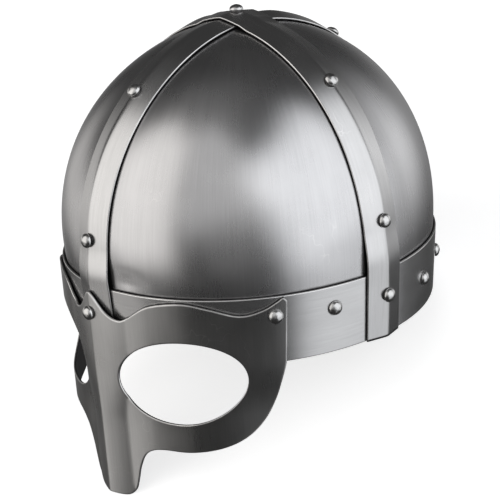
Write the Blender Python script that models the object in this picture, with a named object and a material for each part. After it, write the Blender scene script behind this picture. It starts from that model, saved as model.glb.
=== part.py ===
"""Riveted spectacle helmet, modelled as its real pieces.

Four domed plates butt under two crossing straps and stand inside a brow band.
A face guard with a nasal and two eye holes is riveted over the brow band, and the
plates and the band are arched behind it, clear of the eye holes.
Units are metres, +Z is up and the face looks along -Y. The helmet is modelled
upright with its rim at z = 0, then an empty tips it back as it rests by itself,
on the end of its nasal and on the back of its rim.
"""

import math
from collections import namedtuple

import bpy
import bmesh
from mathutils import Matrix, Vector
from mathutils.geometry import delaunay_2d_cdt

# Shell, measured on the outside of the domed plates
HEAD_LENGTH = 0.2240
HEAD_WIDTH = 0.2090
CROWN_HEIGHT = 0.1637
BROW_HEIGHT = 0.0382
RIM_TUCK = 0.0020

# Sheet metal
PLATE_THICKNESS = 0.0015
BROW_THICKNESS = 0.0015
STRAP_THICKNESS = 0.0012
GUARD_THICKNESS = 0.0015
GAP = 0.0003

# Straps, each a shallow V in section
STRAP_WIDTH = 0.0245
STRAP_EDGE_STAND = 0.0004
STRAP_RIDGE = 0.0027
STRAP_STEP_LENGTH = 0.016
CROWN_FLAT_LENGTH = 0.030
CROWN_RIDGE_SHARE = 0.35
CROSSING_LENGTH = 0.0098

# Face guard
GUARD_SWEEP = math.radians(58.75)
NOSE_DROP = 0.0870
CREASE_WIDTH_AT_BROW = 0.022
CREASE_WIDTH_AT_NOSE = 0.016
CREASE_RISE_AT_NOSE = 0.0051
CHEEK_FLATTENING = 0.0018
FLATTENING_DEPTH = 0.040
CHEEK_START_SHARE = 0.34
CHEEK_END_SHARE = 0.68
LOBE_TUCK = 0.0025
LOBE_TUCK_DEPTH = 0.030
LOBE_START_SHARE = 0.50
LOBE_END_SHARE = 0.95
EYE_HALF_WIDTH = 0.0383
EYE_HALF_HEIGHT = 0.0243
EYE_DROP = 0.0103
NOSE_BRIDGE = 0.0308
EYE_TILT = math.radians(4.2)

# How far the wall behind the guard, arched over each eye hole, stays off the hole
EYE_CLEARANCE = 0.003

# Rivets
HEAD_RADIUS = 0.0040
HEAD_RISE = 0.0030
SHANK_RADIUS = 0.0020
TAIL_RADIUS = 0.0031
TAIL_RISE = 0.0011
HOLE_CLEARANCE = 0.0003
TAIL_GAP = 0.0004

# Search for the shell along a line: how far out and in it looks, and how far
# apart the points are that give the shell's direction
LOOK_OUT = 0.001
LOOK_IN = 0.008
DIRECTION_SPREAD = 0.002

# Sections of the head and tail, as shares of their radius and rise
HEAD_CROWN = (0.50, 0.87)
HEAD_SHOULDER = (0.85, 0.50)
TAIL_END_SHARE = 0.80

# Mesh density
PLATE_COLUMNS = 15
PLATE_ROWS = 11
STRAP_ROWS = 15
EYE_POINTS = 26
RIVET_SIDES = 10
HOLE_SIDES = 8
GUARD_CELL = 0.0085
EDGE_CLEAR_SHARE = 0.45
SMOOTH_ANGLE = math.radians(35)

# Levels run from 0 at the rim to 1 at the brow line and 2 at the crown. The band's
# top is a share of the first level, the others are shares of the second one.
BAND_TOP_SHARE = 0.999
STRAP_STEP_START_SHARE = 0.015
PLATE_TOP_SHARE = 0.975

FRONT = -math.pi / 2
REAR = math.pi / 2
LEFT = 0.0
RIGHT = math.pi

# A profile is one Bezier curve from the brow line to the crown. Reach is a
# share of the plan radius, rise a share of the height over the brow line.
Profile = namedtuple("Profile", "brow_reach brow_rise crown_reach")
FRONT_PROFILE = Profile(brow_reach=1.065, brow_rise=0.612, crown_reach=0.468)
SIDE_PROFILE = Profile(brow_reach=1.050, brow_rise=0.717, crown_reach=0.400)
REAR_PROFILE = Profile(brow_reach=1.076, brow_rise=0.640, crown_reach=0.577)

# Guard outline, from the nose line to one end. Across is a share of the
# guard's half length, height a share of BROW_HEIGHT, depth of NOSE_DROP.
TopPoint = namedtuple("TopPoint", "across height")
GUARD_TOP = (
    TopPoint(0.000, 0.945),
    TopPoint(0.020, 0.915),
    TopPoint(0.092, 0.678),
    TopPoint(0.160, 0.586),
    TopPoint(0.218, 0.645),
    TopPoint(0.345, 0.872),
    TopPoint(0.511, 0.955),
    TopPoint(0.645, 0.887),
    TopPoint(0.788, 0.772),
    TopPoint(0.894, 0.827),
    TopPoint(0.965, 0.935),
    TopPoint(0.992, 0.985),
    TopPoint(1.010, 0.930),
)
LowPoint = namedtuple("LowPoint", "across depth")
GUARD_LOW = (
    LowPoint(0.996, 0.000),
    LowPoint(0.973, 0.114),
    LowPoint(0.941, 0.247),
    LowPoint(0.887, 0.378),
    LowPoint(0.799, 0.487),
    LowPoint(0.681, 0.551),
    LowPoint(0.502, 0.588),
    LowPoint(0.365, 0.597),
    LowPoint(0.292, 0.618),
    LowPoint(0.240, 0.668),
    LowPoint(0.202, 0.765),
    LowPoint(0.180, 0.862),
    LowPoint(0.155, 0.945),
    LowPoint(0.105, 0.995),
    LowPoint(0.000, 1.000),
)

# Rivet places. Rise is a share of the curve from the brow line to the crown,
# height a share of BROW_HEIGHT.
StrapRivets = namedtuple("StrapRivets", "side angle low_rise high_rise")
STRAP_RIVETS = (
    StrapRivets("front", FRONT, 0.117, 0.540),
    StrapRivets("rear", REAR, 0.117, 0.578),
    StrapRivets("left", LEFT, 0.112, 0.503),
    StrapRivets("right", RIGHT, 0.112, 0.503),
)
STRAP_FOOT_HEIGHT = 0.655
GUARD_CENTRE_HEIGHT = 0.630
BrowRivet = namedtuple("BrowRivet", "name angle height")
BROW_RIVETS = (
    BrowRivet("front", math.radians(-16.8), 0.675),
    BrowRivet("rear_1", math.radians(22.5), 0.485),
    BrowRivet("rear_2", math.radians(45.0), 0.520),
    BrowRivet("rear_3", math.radians(67.5), 0.560),
)
GUARD_END_RIVET = BrowRivet("guard_end", math.radians(-34.0), 0.730)

# How far each layer stands off the outside of the plates
PLATE_INSIDE = -PLATE_THICKNESS
BROW_INSIDE = GAP
BROW_OUTSIDE = BROW_INSIDE + BROW_THICKNESS
STRAP_INSIDE_AT_BROW = BROW_OUTSIDE + GAP
GUARD_SEAT = BROW_OUTSIDE + GAP + GUARD_THICKNESS
RIDGE_AT_BROW = STRAP_INSIDE_AT_BROW + STRAP_THICKNESS + STRAP_RIDGE
CREASE_RISE_AT_BROW = RIDGE_AT_BROW + GAP + GUARD_THICKNESS - GUARD_SEAT

HALF_LENGTH = HEAD_LENGTH / 2
HALF_WIDTH = HEAD_WIDTH / 2
HALF_STRAP = STRAP_WIDTH / 2
STEP_START = 1 + STRAP_STEP_START_SHARE
STEP_END = 1 + STRAP_STEP_LENGTH / (CROWN_HEIGHT - BROW_HEIGHT)

# Grey and roughness of each kind of piece
PLATE_FINISH = (0.42, 0.38)
BAND_FINISH = (0.46, 0.36)
GUARD_FINISH = (0.38, 0.40)
RIVET_FINISH = (0.55, 0.28)


def smooth(value):
    """Ease from 0 to 1."""
    value = min(max(value, 0.0), 1.0)
    return value * value * (3 - 2 * value)


def mix(first, second, share):
    """Go from the first number to the second."""
    return first + (second - first) * share


def curve_height(profile, t):
    """Height share of a profile at t, 0 at the brow line and 1 at the crown."""
    return 3 * (1 - t) ** 2 * t * profile.brow_rise + 3 * (1 - t) * t * t + t ** 3


def curve_reach(profile, t):
    """Radius share of a profile at t."""
    near = 3 * (1 - t) ** 2 * t * profile.brow_reach
    far = 3 * (1 - t) * t * t * profile.crown_reach
    return (1 - t) ** 3 + near + far


def profile_at(angle, t):
    """Radius and height shares between the front or rear and side profiles."""
    end = FRONT_PROFILE if math.sin(angle) < 0 else REAR_PROFILE
    share = math.sin(angle) ** 2
    reach = mix(curve_reach(SIDE_PROFILE, t), curve_reach(end, t), share)
    height = mix(curve_height(SIDE_PROFILE, t), curve_height(end, t), share)
    return reach, height


def plan_point(angle, radius_share, height, tuck=0.0):
    """A point on the oval plan, pulled in by tuck."""
    x = (HALF_WIDTH - tuck) * radius_share * math.cos(angle)
    y = (HALF_LENGTH - tuck) * radius_share * math.sin(angle)
    return Vector((x, y, height))


def shell_point(angle, level):
    """Outside of the plates. Level is 0 at the rim, 1 at the brow, 2 at the crown."""
    if level <= 1:
        return plan_point(angle, 1.0, BROW_HEIGHT * level, RIM_TUCK * (1 - level))
    reach, height = profile_at(angle, level - 1)
    return plan_point(angle, reach, mix(BROW_HEIGHT, CROWN_HEIGHT, height))


def shell_normal(angle, level):
    """Outward direction of the shell, straight up at the crown."""
    step = 0.001
    if level > 2 - step:
        return Vector((0, 0, 1))
    across = shell_point(angle + step, level) - shell_point(angle - step, level)
    if level < 1:
        level = step
    upward = shell_point(angle, level + step) - shell_point(angle, level - step)
    normal = across.cross(upward).normalized()
    if level < 1:
        normal.z = 0
    return normal.normalized()


def lifted(angle, level, lift):
    """A point that stands off the outside of the plates."""
    return shell_point(angle, level) + shell_normal(angle, level) * lift


def is_outside(point):
    """True when the point lies outside the plates' outer face."""
    if point.z >= CROWN_HEIGHT:
        return True
    if point.z <= BROW_HEIGHT:
        tuck = RIM_TUCK * (1 - point.z / BROW_HEIGHT)
        x_share = point.x / (HALF_WIDTH - tuck)
        y_share = point.y / (HALF_LENGTH - tuck)
        return math.hypot(x_share, y_share) > 1
    x_share = point.x / HALF_WIDTH
    y_share = point.y / HALF_LENGTH
    angle = math.atan2(y_share, x_share)
    wanted = (point.z - BROW_HEIGHT) / (CROWN_HEIGHT - BROW_HEIGHT)
    low, high = 0.0, 1.0
    for _ in range(30):
        middle = (low + high) / 2
        if profile_at(angle, middle)[1] < wanted:
            low = middle
        else:
            high = middle
    return math.hypot(x_share, y_share) > profile_at(angle, low)[0]


def drop_to_shell(point, normal):
    """Move a point against the normal until it meets the shell."""
    near, far = -LOOK_OUT, LOOK_IN
    for _ in range(24):
        middle = (near + far) / 2
        if is_outside(point - normal * middle):
            near = middle
        else:
            far = middle
    return point - normal * near


def shell_direction(point):
    """Outward direction at any point of the shell, from three near points."""
    guess = Vector((point.x / HALF_WIDTH ** 2, point.y / HALF_LENGTH ** 2, 0))
    rise = max(point.z - BROW_HEIGHT, 0.0) / (CROWN_HEIGHT - BROW_HEIGHT)
    guess.z = rise / CROWN_HEIGHT
    guess.normalize()
    if point.z <= BROW_HEIGHT:
        return guess
    first = guess.orthogonal().normalized()
    second = guess.cross(first)
    ring = [drop_to_shell(point + side * DIRECTION_SPREAD, guess)
            for side in (first, second, -first, -second)]
    normal = (ring[0] - ring[2]).cross(ring[1] - ring[3]).normalized()
    if normal.dot(guess) < 0:
        normal.negate()
    return normal


def new_object(name, mesh_data, finish, parent):
    """Make a mesh object from a bmesh and give it its own material."""
    bmesh.ops.recalc_face_normals(mesh_data, faces=mesh_data.faces)
    mesh = bpy.data.meshes.new(name)
    mesh_data.to_mesh(mesh)
    mesh_data.free()
    mesh.shade_smooth()
    mesh.set_sharp_from_angle(angle=SMOOTH_ANGLE)
    thing = bpy.data.objects.new(name, mesh)
    bpy.context.collection.objects.link(thing)
    thing.parent = parent
    mesh.materials.append(steel(name, *finish))
    return thing


def steel(name, grey, roughness):
    """Bare satin steel in one grey."""
    material = bpy.data.materials.new(name + "_steel")
    material.use_nodes = True
    shader = material.node_tree.nodes["Principled BSDF"]
    shader.inputs["Base Color"].default_value = (grey, grey, grey * 0.98, 1)
    shader.inputs["Metallic"].default_value = 1.0
    shader.inputs["Roughness"].default_value = roughness
    return material


def add_sheet(mesh_data, outside, inside, closed=False):
    """Close two matching grids of points into one solid sheet."""
    rows = len(outside)
    columns = len(outside[0])
    outer = [[mesh_data.verts.new(point) for point in row] for row in outside]
    inner = [[mesh_data.verts.new(point) for point in row] for row in inside]
    across = columns if closed else columns - 1
    for row in range(rows - 1):
        for column in range(across):
            after = (column + 1) % columns
            mesh_data.faces.new((outer[row][column], outer[row][after],
                                 outer[row + 1][after], outer[row + 1][column]))
            mesh_data.faces.new((inner[row][column], inner[row + 1][column],
                                 inner[row + 1][after], inner[row][after]))
    for row in (0, rows - 1):
        for column in range(across):
            after = (column + 1) % columns
            mesh_data.faces.new((outer[row][column], outer[row][after],
                                 inner[row][after], inner[row][column]))
    if not closed:
        for column in (0, columns - 1):
            for row in range(rows - 1):
                mesh_data.faces.new((outer[row][column], outer[row + 1][column],
                                     inner[row + 1][column], inner[row][column]))


def wall_foot(angle):
    """Level of the wall's lower edge: the rim, or the arch over an eye hole."""
    sweep = abs(math.remainder(angle - FRONT, 2 * math.pi))
    along = sweep / GUARD_SWEEP * half_guard_length() - eye_centre()
    share = along / (EYE_HALF_WIDTH + EYE_CLEARANCE)
    if abs(share) >= 1:
        return 0.0
    rise = (EYE_HALF_HEIGHT + EYE_CLEARANCE) * math.sqrt(1 - share * share)
    height = rise + along * math.tan(EYE_TILT) - EYE_DROP
    return max(height, 0.0) / BROW_HEIGHT


def plate_levels(angle):
    """Rows of a plate, from its foot to just short of the crown rivet."""
    rows = [wall_foot(angle)]
    for row in range(PLATE_ROWS):
        rows.append(1 + PLATE_TOP_SHARE * row / (PLATE_ROWS - 1))
    return rows


def make_plate(name, start, parent):
    """One domed quarter, moved out by half the seam gap on both sides."""
    middle = start + math.pi / 4
    shift = Vector((math.copysign(GAP / 2, math.cos(middle)),
                    math.copysign(GAP / 2, math.sin(middle)), 0))
    outside, inside = [], []
    for column in range(PLATE_COLUMNS + 1):
        angle = start + math.pi / 2 * column / PLATE_COLUMNS
        levels = plate_levels(angle)
        outside.append([lifted(angle, level, -GAP / 2) + shift for level in levels])
        inside.append([lifted(angle, level, PLATE_INSIDE) + shift for level in levels])
    mesh_data = bmesh.new()
    add_sheet(mesh_data, outside, inside)
    return new_object(name, mesh_data, PLATE_FINISH, parent)


def make_brow_band(parent):
    """The ring that holds the lower edges of the plates."""
    count = PLATE_COLUMNS * 4
    angles = [2 * math.pi * column / count for column in range(count)]
    rows = ([wall_foot(angle) for angle in angles], [BAND_TOP_SHARE] * count)
    outside = [[lifted(angle, level, BROW_OUTSIDE) for angle, level in zip(angles, levels)]
               for levels in rows]
    inside = [[lifted(angle, level, BROW_INSIDE) for angle, level in zip(angles, levels)]
              for levels in rows]
    mesh_data = bmesh.new()
    add_sheet(mesh_data, outside, inside, closed=True)
    return new_object("brow_band", mesh_data, BAND_FINISH, parent)


def strap_levels():
    """Rows of half a strap, closer together over the brow band's step."""
    rows = [0.0, 0.5, 1.0, STEP_START, (STEP_START + STEP_END) / 2, STEP_END]
    for row in range(1, STRAP_ROWS + 1):
        rows.append(mix(STEP_END, 2.0, row / STRAP_ROWS))
    return rows


def strap_step(level):
    """How far over the brow band's step a strap is, 1 on the band."""
    return 1 - smooth((level - STEP_START) / (STEP_END - STEP_START))


def crown_ridge(distance):
    """Ridge height, pressed down where the straps cross at the crown."""
    share = smooth(distance / CROWN_FLAT_LENGTH)
    return STRAP_RIDGE * mix(CROWN_RIDGE_SHARE, 1.0, share)


def crossing_rise(distance):
    """How far the upper strap climbs over the lower one near the crown."""
    crest = STRAP_THICKNESS + crown_ridge(HALF_STRAP) + GAP
    shoulder = STRAP_THICKNESS + GAP
    if distance < HALF_STRAP:
        return mix(crest, shoulder, distance / HALF_STRAP)
    return shoulder * (1 - smooth((distance - HALF_STRAP) / CROSSING_LENGTH))


def strap_row(angle, level, upper):
    """Outside and inside points across a strap at one level."""
    centre = shell_point(angle, level)
    normal = shell_normal(angle, level)
    distance = math.hypot(centre.x, centre.y)
    edge = mix(STRAP_EDGE_STAND, STRAP_INSIDE_AT_BROW, strap_step(level))
    if upper:
        edge += crossing_rise(distance)
    ridge = crown_ridge(distance)
    sideways = Vector((-math.sin(angle), math.cos(angle), 0))
    outer, inner = [], []
    for share in (-1, 0, 1):
        point = drop_to_shell(centre + sideways * HALF_STRAP * share, normal)
        away = shell_direction(point) if share else normal
        lift = edge + ridge * (1 - abs(share))
        inner.append(point + away * lift)
        outer.append(point + away * (lift + STRAP_THICKNESS))
    return outer, inner


def make_strap(name, first_angle, upper, parent):
    """A ridged strap from rim to rim over the crown."""
    levels = strap_levels()
    outside, inside = [], []
    for level in levels:
        outer, inner = strap_row(first_angle, level, upper)
        outside.append(outer)
        inside.append(inner)
    for level in reversed(levels[:-1]):
        outer, inner = strap_row(first_angle + math.pi, level, upper)
        outside.append(outer[::-1])
        inside.append(inner[::-1])
    mesh_data = bmesh.new()
    add_sheet(mesh_data, outside, inside)
    return new_object(name, mesh_data, BAND_FINISH, parent)


def guard_point(across, height, depth_in=0.0):
    """A point of the guard's sheet, depth_in behind its outer face."""
    sweep = across * GUARD_SWEEP
    width = abs(HALF_WIDTH * math.sin(sweep))
    down = smooth(-height / FLATTENING_DEPTH)
    crease = mix(CREASE_RISE_AT_BROW, CREASE_RISE_AT_NOSE, down)
    crease_width = mix(CREASE_WIDTH_AT_BROW, CREASE_WIDTH_AT_NOSE, down)
    cheek_share = (width / HALF_WIDTH - CHEEK_START_SHARE) / (CHEEK_END_SHARE - CHEEK_START_SHARE)
    cheek = 1 - smooth(cheek_share)
    lobe = smooth((abs(across) - LOBE_START_SHARE) / (LOBE_END_SHARE - LOBE_START_SHARE))
    lean = max(RIM_TUCK * (1 - height / BROW_HEIGHT), 0.0)
    lean += LOBE_TUCK * smooth(-height / LOBE_TUCK_DEPTH)
    lift = GUARD_SEAT - CHEEK_FLATTENING * down * cheek - lean * lobe
    lift += crease * max(0.0, 1 - width / crease_width) - depth_in
    x = (HALF_WIDTH + lift) * math.sin(sweep)
    y = -(HALF_LENGTH + lift) * math.cos(sweep)
    return Vector((x, y, height))


def smooth_line(points, steps):
    """A smooth line through the points, with the ends kept."""
    line = []
    for index in range(len(points) - 1):
        before = points[max(index - 1, 0)]
        start, end = points[index], points[index + 1]
        after = points[min(index + 2, len(points) - 1)]
        for step in range(steps):
            t = step / steps
            point = []
            for p0, p1, p2, p3 in zip(before, start, end, after):
                point.append(0.5 * (2 * p1 + (p2 - p0) * t
                                    + (2 * p0 - 5 * p1 + 4 * p2 - p3) * t * t
                                    + (3 * p1 - p0 - 3 * p2 + p3) * t ** 3))
            line.append(tuple(point))
    line.append(tuple(points[-1]))
    return line


def guard_outline():
    """Half of the guard's edge, from the top of the nose line round to its foot."""
    top = [(point.across, point.height * BROW_HEIGHT) for point in GUARD_TOP]
    low = [(point.across, -point.depth * NOSE_DROP) for point in GUARD_LOW]
    return smooth_line(top, 2) + smooth_line(low, 2)


def half_guard_length():
    """Length of the guard's plan from the nose line to one end."""
    points = [guard_point(step / 40, 0.0) for step in range(41)]
    return sum((b - a).length for a, b in zip(points, points[1:]))


def eye_centre():
    """Distance from the nose line to the middle of an eye hole."""
    return EYE_HALF_WIDTH + NOSE_BRIDGE / 2


def eye_outline():
    """The oval eye hole, in shares across and heights."""
    length = half_guard_length()
    centre = eye_centre() / length
    outline = []
    for index in range(EYE_POINTS):
        turn = 2 * math.pi * index / EYE_POINTS
        along = EYE_HALF_WIDTH * math.cos(turn)
        height = EYE_HALF_HEIGHT * math.sin(turn) + along * math.tan(EYE_TILT)
        outline.append((centre + along / length, height - EYE_DROP))
    return outline


def inside_loop(point, loop):
    """True when a flat point lies inside a closed loop."""
    inside = False
    for (x1, y1), (x2, y2) in zip(loop, loop[1:] + loop[:1]):
        if (y1 > point[1]) != (y2 > point[1]):
            if point[0] < (x2 - x1) * (point[1] - y1) / (y2 - y1) + x1:
                inside = not inside
    return inside


def clear_of(point, line, distance):
    """True when a flat point keeps its distance from each point of a line."""
    return all(math.hypot(point[0] - x, point[1] - y) > distance for x, y in line)


def guard_pattern():
    """Points and triangles of half the guard, laid flat."""
    length = half_guard_length()
    edge = [(across * length, height) for across, height in guard_outline()]
    eye = [(across * length, height) for across, height in eye_outline()]
    top, foot = edge[0][1], edge[-1][1]
    count = round((top - foot) / GUARD_CELL)
    fold = [(0.0, mix(foot, top, index / count)) for index in range(1, count)]
    rim = edge + fold
    columns = [CREASE_WIDTH_AT_NOSE / 2, CREASE_WIDTH_AT_NOSE]
    while columns[-1] < length:
        columns.append(max(columns[-1] + GUARD_CELL, CREASE_WIDTH_AT_BROW))
    rows = [foot + GUARD_CELL * index for index in range(1, count)]
    fill = []
    for along in columns:
        for height in rows:
            point = (along, height)
            if not inside_loop(point, rim) or inside_loop(point, eye):
                continue
            if clear_of(point, rim + eye, GUARD_CELL * EDGE_CLEAR_SHARE):
                fill.append(point)
    points = rim + eye + fill
    borders = [(index, (index + 1) % len(rim)) for index in range(len(rim))]
    first = len(rim)
    for index in range(len(eye)):
        borders.append((first + index, first + (index + 1) % len(eye)))
    flat, _, faces, _, _, _ = delaunay_2d_cdt([Vector(p) for p in points], borders, [], 1, 1e-7)
    kept = []
    for face in faces:
        middle = sum((flat[index] for index in face), Vector((0, 0))) / 3
        if not inside_loop(middle, eye):
            kept.append(face)
    return [(point.x / length, point.y) for point in flat], kept


def make_guard(parent):
    """The face guard: brow, eye rings and nasal in one creased sheet."""
    flat, triangles = guard_pattern()
    mesh_data = bmesh.new()
    sheets = {}
    for depth_in in (0.0, GUARD_THICKNESS):
        for side in (-1, 1):
            for index, (across, height) in enumerate(flat):
                on_fold = abs(across) < 1e-6
                key = (depth_in, 1 if on_fold else side, index)
                if key not in sheets:
                    point = guard_point(side * across, height, depth_in)
                    sheets[key] = mesh_data.verts.new(point)
                sheets[(depth_in, side, index)] = sheets[key]
    edge_uses = {}
    for face in triangles:
        for a, b in zip(face, face[1:] + face[:1]):
            edge_uses[frozenset((a, b))] = edge_uses.get(frozenset((a, b)), 0) + 1
    for side in (-1, 1):
        for face in triangles:
            for depth_in in (0.0, GUARD_THICKNESS):
                mesh_data.faces.new([sheets[(depth_in, side, index)] for index in face])
        for edge, uses in edge_uses.items():
            a, b = tuple(edge)
            if uses == 1 and not (abs(flat[a][0]) < 1e-6 and abs(flat[b][0]) < 1e-6):
                mesh_data.faces.new((sheets[(0.0, side, a)], sheets[(0.0, side, b)],
                                     sheets[(GUARD_THICKNESS, side, b)],
                                     sheets[(GUARD_THICKNESS, side, a)]))
    return new_object("eye_guard", mesh_data, GUARD_FINISH, parent)


def turned(profile, sides, place):
    """A solid turned about its own Z from a profile that runs down the outside."""
    mesh_data = bmesh.new()
    top = mesh_data.verts.new(place @ Vector((0, 0, profile[0][1])))
    bottom = mesh_data.verts.new(place @ Vector((0, 0, profile[-1][1])))
    rings = []
    for radius, height in profile[1:-1]:
        ring = []
        for side in range(sides):
            turn = 2 * math.pi * side / sides
            point = Vector((radius * math.cos(turn), radius * math.sin(turn), height))
            ring.append(mesh_data.verts.new(place @ point))
        rings.append(ring)
    for side in range(sides):
        after = (side + 1) % sides
        mesh_data.faces.new((top, rings[0][side], rings[0][after]))
        mesh_data.faces.new((bottom, rings[-1][after], rings[-1][side]))
        for upper, lower in zip(rings, rings[1:]):
            mesh_data.faces.new((upper[side], lower[side], lower[after], upper[after]))
    return mesh_data


def frame_on(point, normal):
    """A frame at the point whose Z follows the normal."""
    turn = normal.to_track_quat("Z", "Y").to_matrix().to_4x4()
    return Matrix.Translation(point) @ turn


def make_rivet(name, seat, normal, grip, parent, cutters):
    """A domed rivet, and the cutter that drills its clearance hole.

    Seat is the point under the head, grip the shank's length to the tail.
    """
    place = frame_on(seat, normal)
    profile = (
        (0, HEAD_RISE),
        (HEAD_RADIUS * HEAD_CROWN[0], HEAD_RISE * HEAD_CROWN[1]),
        (HEAD_RADIUS * HEAD_SHOULDER[0], HEAD_RISE * HEAD_SHOULDER[1]),
        (HEAD_RADIUS, 0),
        (SHANK_RADIUS, 0),
        (SHANK_RADIUS, -grip),
        (TAIL_RADIUS, -grip),
        (TAIL_RADIUS * TAIL_END_SHARE, -grip - TAIL_RISE),
        (0, -grip - TAIL_RISE),
    )
    rivet = new_object("rivet_" + name, turned(profile, RIVET_SIDES, place),
                       RIVET_FINISH, parent)
    hole = SHANK_RADIUS + HOLE_CLEARANCE
    drill = ((0, HEAD_RADIUS), (hole, HEAD_RADIUS),
             (hole, -grip - HEAD_RADIUS), (0, -grip - HEAD_RADIUS))
    cutter = new_object("drill_" + name, turned(drill, HOLE_SIDES, place),
                        RIVET_FINISH, parent)
    bpy.context.collection.objects.unlink(cutter)
    cutters.objects.link(cutter)
    cutter.hide_render = True
    cutter.display_type = "WIRE"
    return rivet


def rivet_on_shell(name, angle, level, outside_lift, parent, cutters):
    """A rivet through everything between a lift and the inside of the plates."""
    normal = shell_normal(angle, level)
    seat = shell_point(angle, level) + normal * (outside_lift + GAP)
    grip = outside_lift + GAP - PLATE_INSIDE + TAIL_GAP
    make_rivet(name, seat, normal, grip, parent, cutters)


def make_rivets(parent, cutters):
    """All rivets: straps, crown, brow band and guard."""
    strap_crest = STRAP_EDGE_STAND + STRAP_RIDGE + STRAP_THICKNESS
    for row in STRAP_RIVETS:
        rivet_on_shell(row.side + "_low", row.angle, 1 + row.low_rise, strap_crest,
                       parent, cutters)
        rivet_on_shell(row.side + "_high", row.angle, 1 + row.high_rise, strap_crest,
                       parent, cutters)
        if row.angle != FRONT:
            rivet_on_shell(row.side + "_foot", row.angle, STRAP_FOOT_HEIGHT,
                           RIDGE_AT_BROW, parent, cutters)
    crown_lift = STRAP_EDGE_STAND + crossing_rise(0) + crown_ridge(0) + STRAP_THICKNESS
    rivet_on_shell("crown", FRONT, 2.0, crown_lift, parent, cutters)
    for rivet in BROW_RIVETS:
        for side, angle in (("left", rivet.angle), ("right", math.pi - rivet.angle)):
            rivet_on_shell(f"brow_{side}_{rivet.name}", angle, rivet.height,
                           BROW_OUTSIDE, parent, cutters)
    end = GUARD_END_RIVET
    for side, angle in (("left", end.angle), ("right", math.pi - end.angle)):
        rivet_on_shell(f"{end.name}_{side}", angle, end.height, GUARD_SEAT,
                       parent, cutters)
    lean = RIM_TUCK * (1 - GUARD_CENTRE_HEIGHT)
    rivet_on_shell("guard_centre", FRONT, GUARD_CENTRE_HEIGHT,
                   GUARD_SEAT + CREASE_RISE_AT_BROW + lean, parent, cutters)


def drill_holes(sheets, cutters):
    """Cut the rivets' clearance holes through every sheet they pass."""
    for sheet in sheets:
        cut = sheet.modifiers.new("rivet holes", "BOOLEAN")
        cut.operation = "DIFFERENCE"
        cut.solver = "EXACT"
        cut.operand_type = "COLLECTION"
        cut.collection = cutters


def lowest(points, tip):
    """Lowest height among the points once they are tipped back."""
    return min(point.z * math.cos(tip) - point.y * math.sin(tip) for point in points)


def rest_on_floor(holder):
    """Tip the helmet back until the nasal and the back of the rim share the floor."""
    points = [vertex.co for thing in holder.children if not thing.hide_render
              for vertex in thing.data.vertices]
    front = [point for point in points if point.y < 0]
    back = [point for point in points if point.y > 0]
    small, large = 0.0, math.pi / 4
    for _ in range(40):
        tip = (small + large) / 2
        if lowest(front, tip) < lowest(back, tip):
            small = tip
        else:
            large = tip
    turn = Matrix.Rotation(-tip, 3, "X")
    ends = [turn @ point for point in points]
    low = [min(point[axis] for point in ends) for axis in range(3)]
    high = [max(point[axis] for point in ends) for axis in range(3)]
    holder.rotation_euler = (-tip, 0, 0)
    holder.location = (-(low[0] + high[0]) / 2, -(low[1] + high[1]) / 2, -low[2])


def main():
    """Build the helmet."""
    for thing in list(bpy.data.objects):
        bpy.data.objects.remove(thing)
    holder = bpy.data.objects.new("helmet_tilt", None)
    bpy.context.collection.objects.link(holder)
    cutters = bpy.data.collections.new("rivet_drills")
    bpy.context.scene.collection.children.link(cutters)
    sheets = [
        make_plate("dome_plate_front_right", -math.pi, holder),
        make_plate("dome_plate_front_left", FRONT, holder),
        make_plate("dome_plate_rear_left", LEFT, holder),
        make_plate("dome_plate_rear_right", REAR, holder),
        make_brow_band(holder),
        make_strap("front_rear_strap", FRONT, False, holder),
        make_strap("side_strap", LEFT, True, holder),
        make_guard(holder),
    ]
    make_rivets(holder, cutters)
    drill_holes(sheets, cutters)
    rest_on_floor(holder)


main()
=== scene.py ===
"""Looks for a riveted spectacle helmet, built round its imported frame.

The form is worked out upright, with the rim at height 0 and the face towards -Y, in metres.
Each piece is then tipped back to the way the helmet rests on the floor by itself.
"""

import logging
import math
from collections.abc import Callable
from dataclasses import dataclass
from enum import Enum
from typing import NamedTuple

import bmesh
import bpy
import numpy as np
from mathutils import Matrix, Vector
from mathutils.geometry import delaunay_2d_cdt


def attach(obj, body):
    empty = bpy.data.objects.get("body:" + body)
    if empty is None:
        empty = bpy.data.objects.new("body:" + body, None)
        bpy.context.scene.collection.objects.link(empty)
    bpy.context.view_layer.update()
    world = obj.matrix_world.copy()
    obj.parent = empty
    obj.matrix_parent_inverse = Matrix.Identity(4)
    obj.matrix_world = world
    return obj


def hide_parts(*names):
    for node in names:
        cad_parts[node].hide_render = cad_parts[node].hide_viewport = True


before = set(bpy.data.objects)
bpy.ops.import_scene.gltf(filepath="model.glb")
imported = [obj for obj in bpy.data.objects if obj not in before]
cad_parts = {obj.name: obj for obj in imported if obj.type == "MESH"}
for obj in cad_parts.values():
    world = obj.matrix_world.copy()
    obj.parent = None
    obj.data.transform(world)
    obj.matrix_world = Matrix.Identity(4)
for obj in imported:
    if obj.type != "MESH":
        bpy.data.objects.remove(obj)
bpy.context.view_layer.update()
LOG = logging.getLogger("helmet")
MM = 0.001
TINY = 1e-12
MEAN_RADIUS = 0.108  # of the plan, to turn angles into distances
STRAP_WIDTH = 0.0245
INNER_SHARE = 0.6  # share of a sheet's thickness under which its inner face starts
FREE = 1.0  # distance, in metres, that stands for no sheet near
EDGE_TURNS = (30.0, 60.0, 90.0)  # degrees of the points round an edge
EVEN_FROM = 1.6  # edge radii from a strip's edge to its first even point
VALUE, VECTOR = "NodeSocketFloat", "NodeSocketVector"

Array = np.ndarray
Socket = bpy.types.NodeSocket
Colour = tuple[float, float, float]
Point = tuple[float, float, float]
Sockets = bpy.types.bpy_prop_collection


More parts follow.
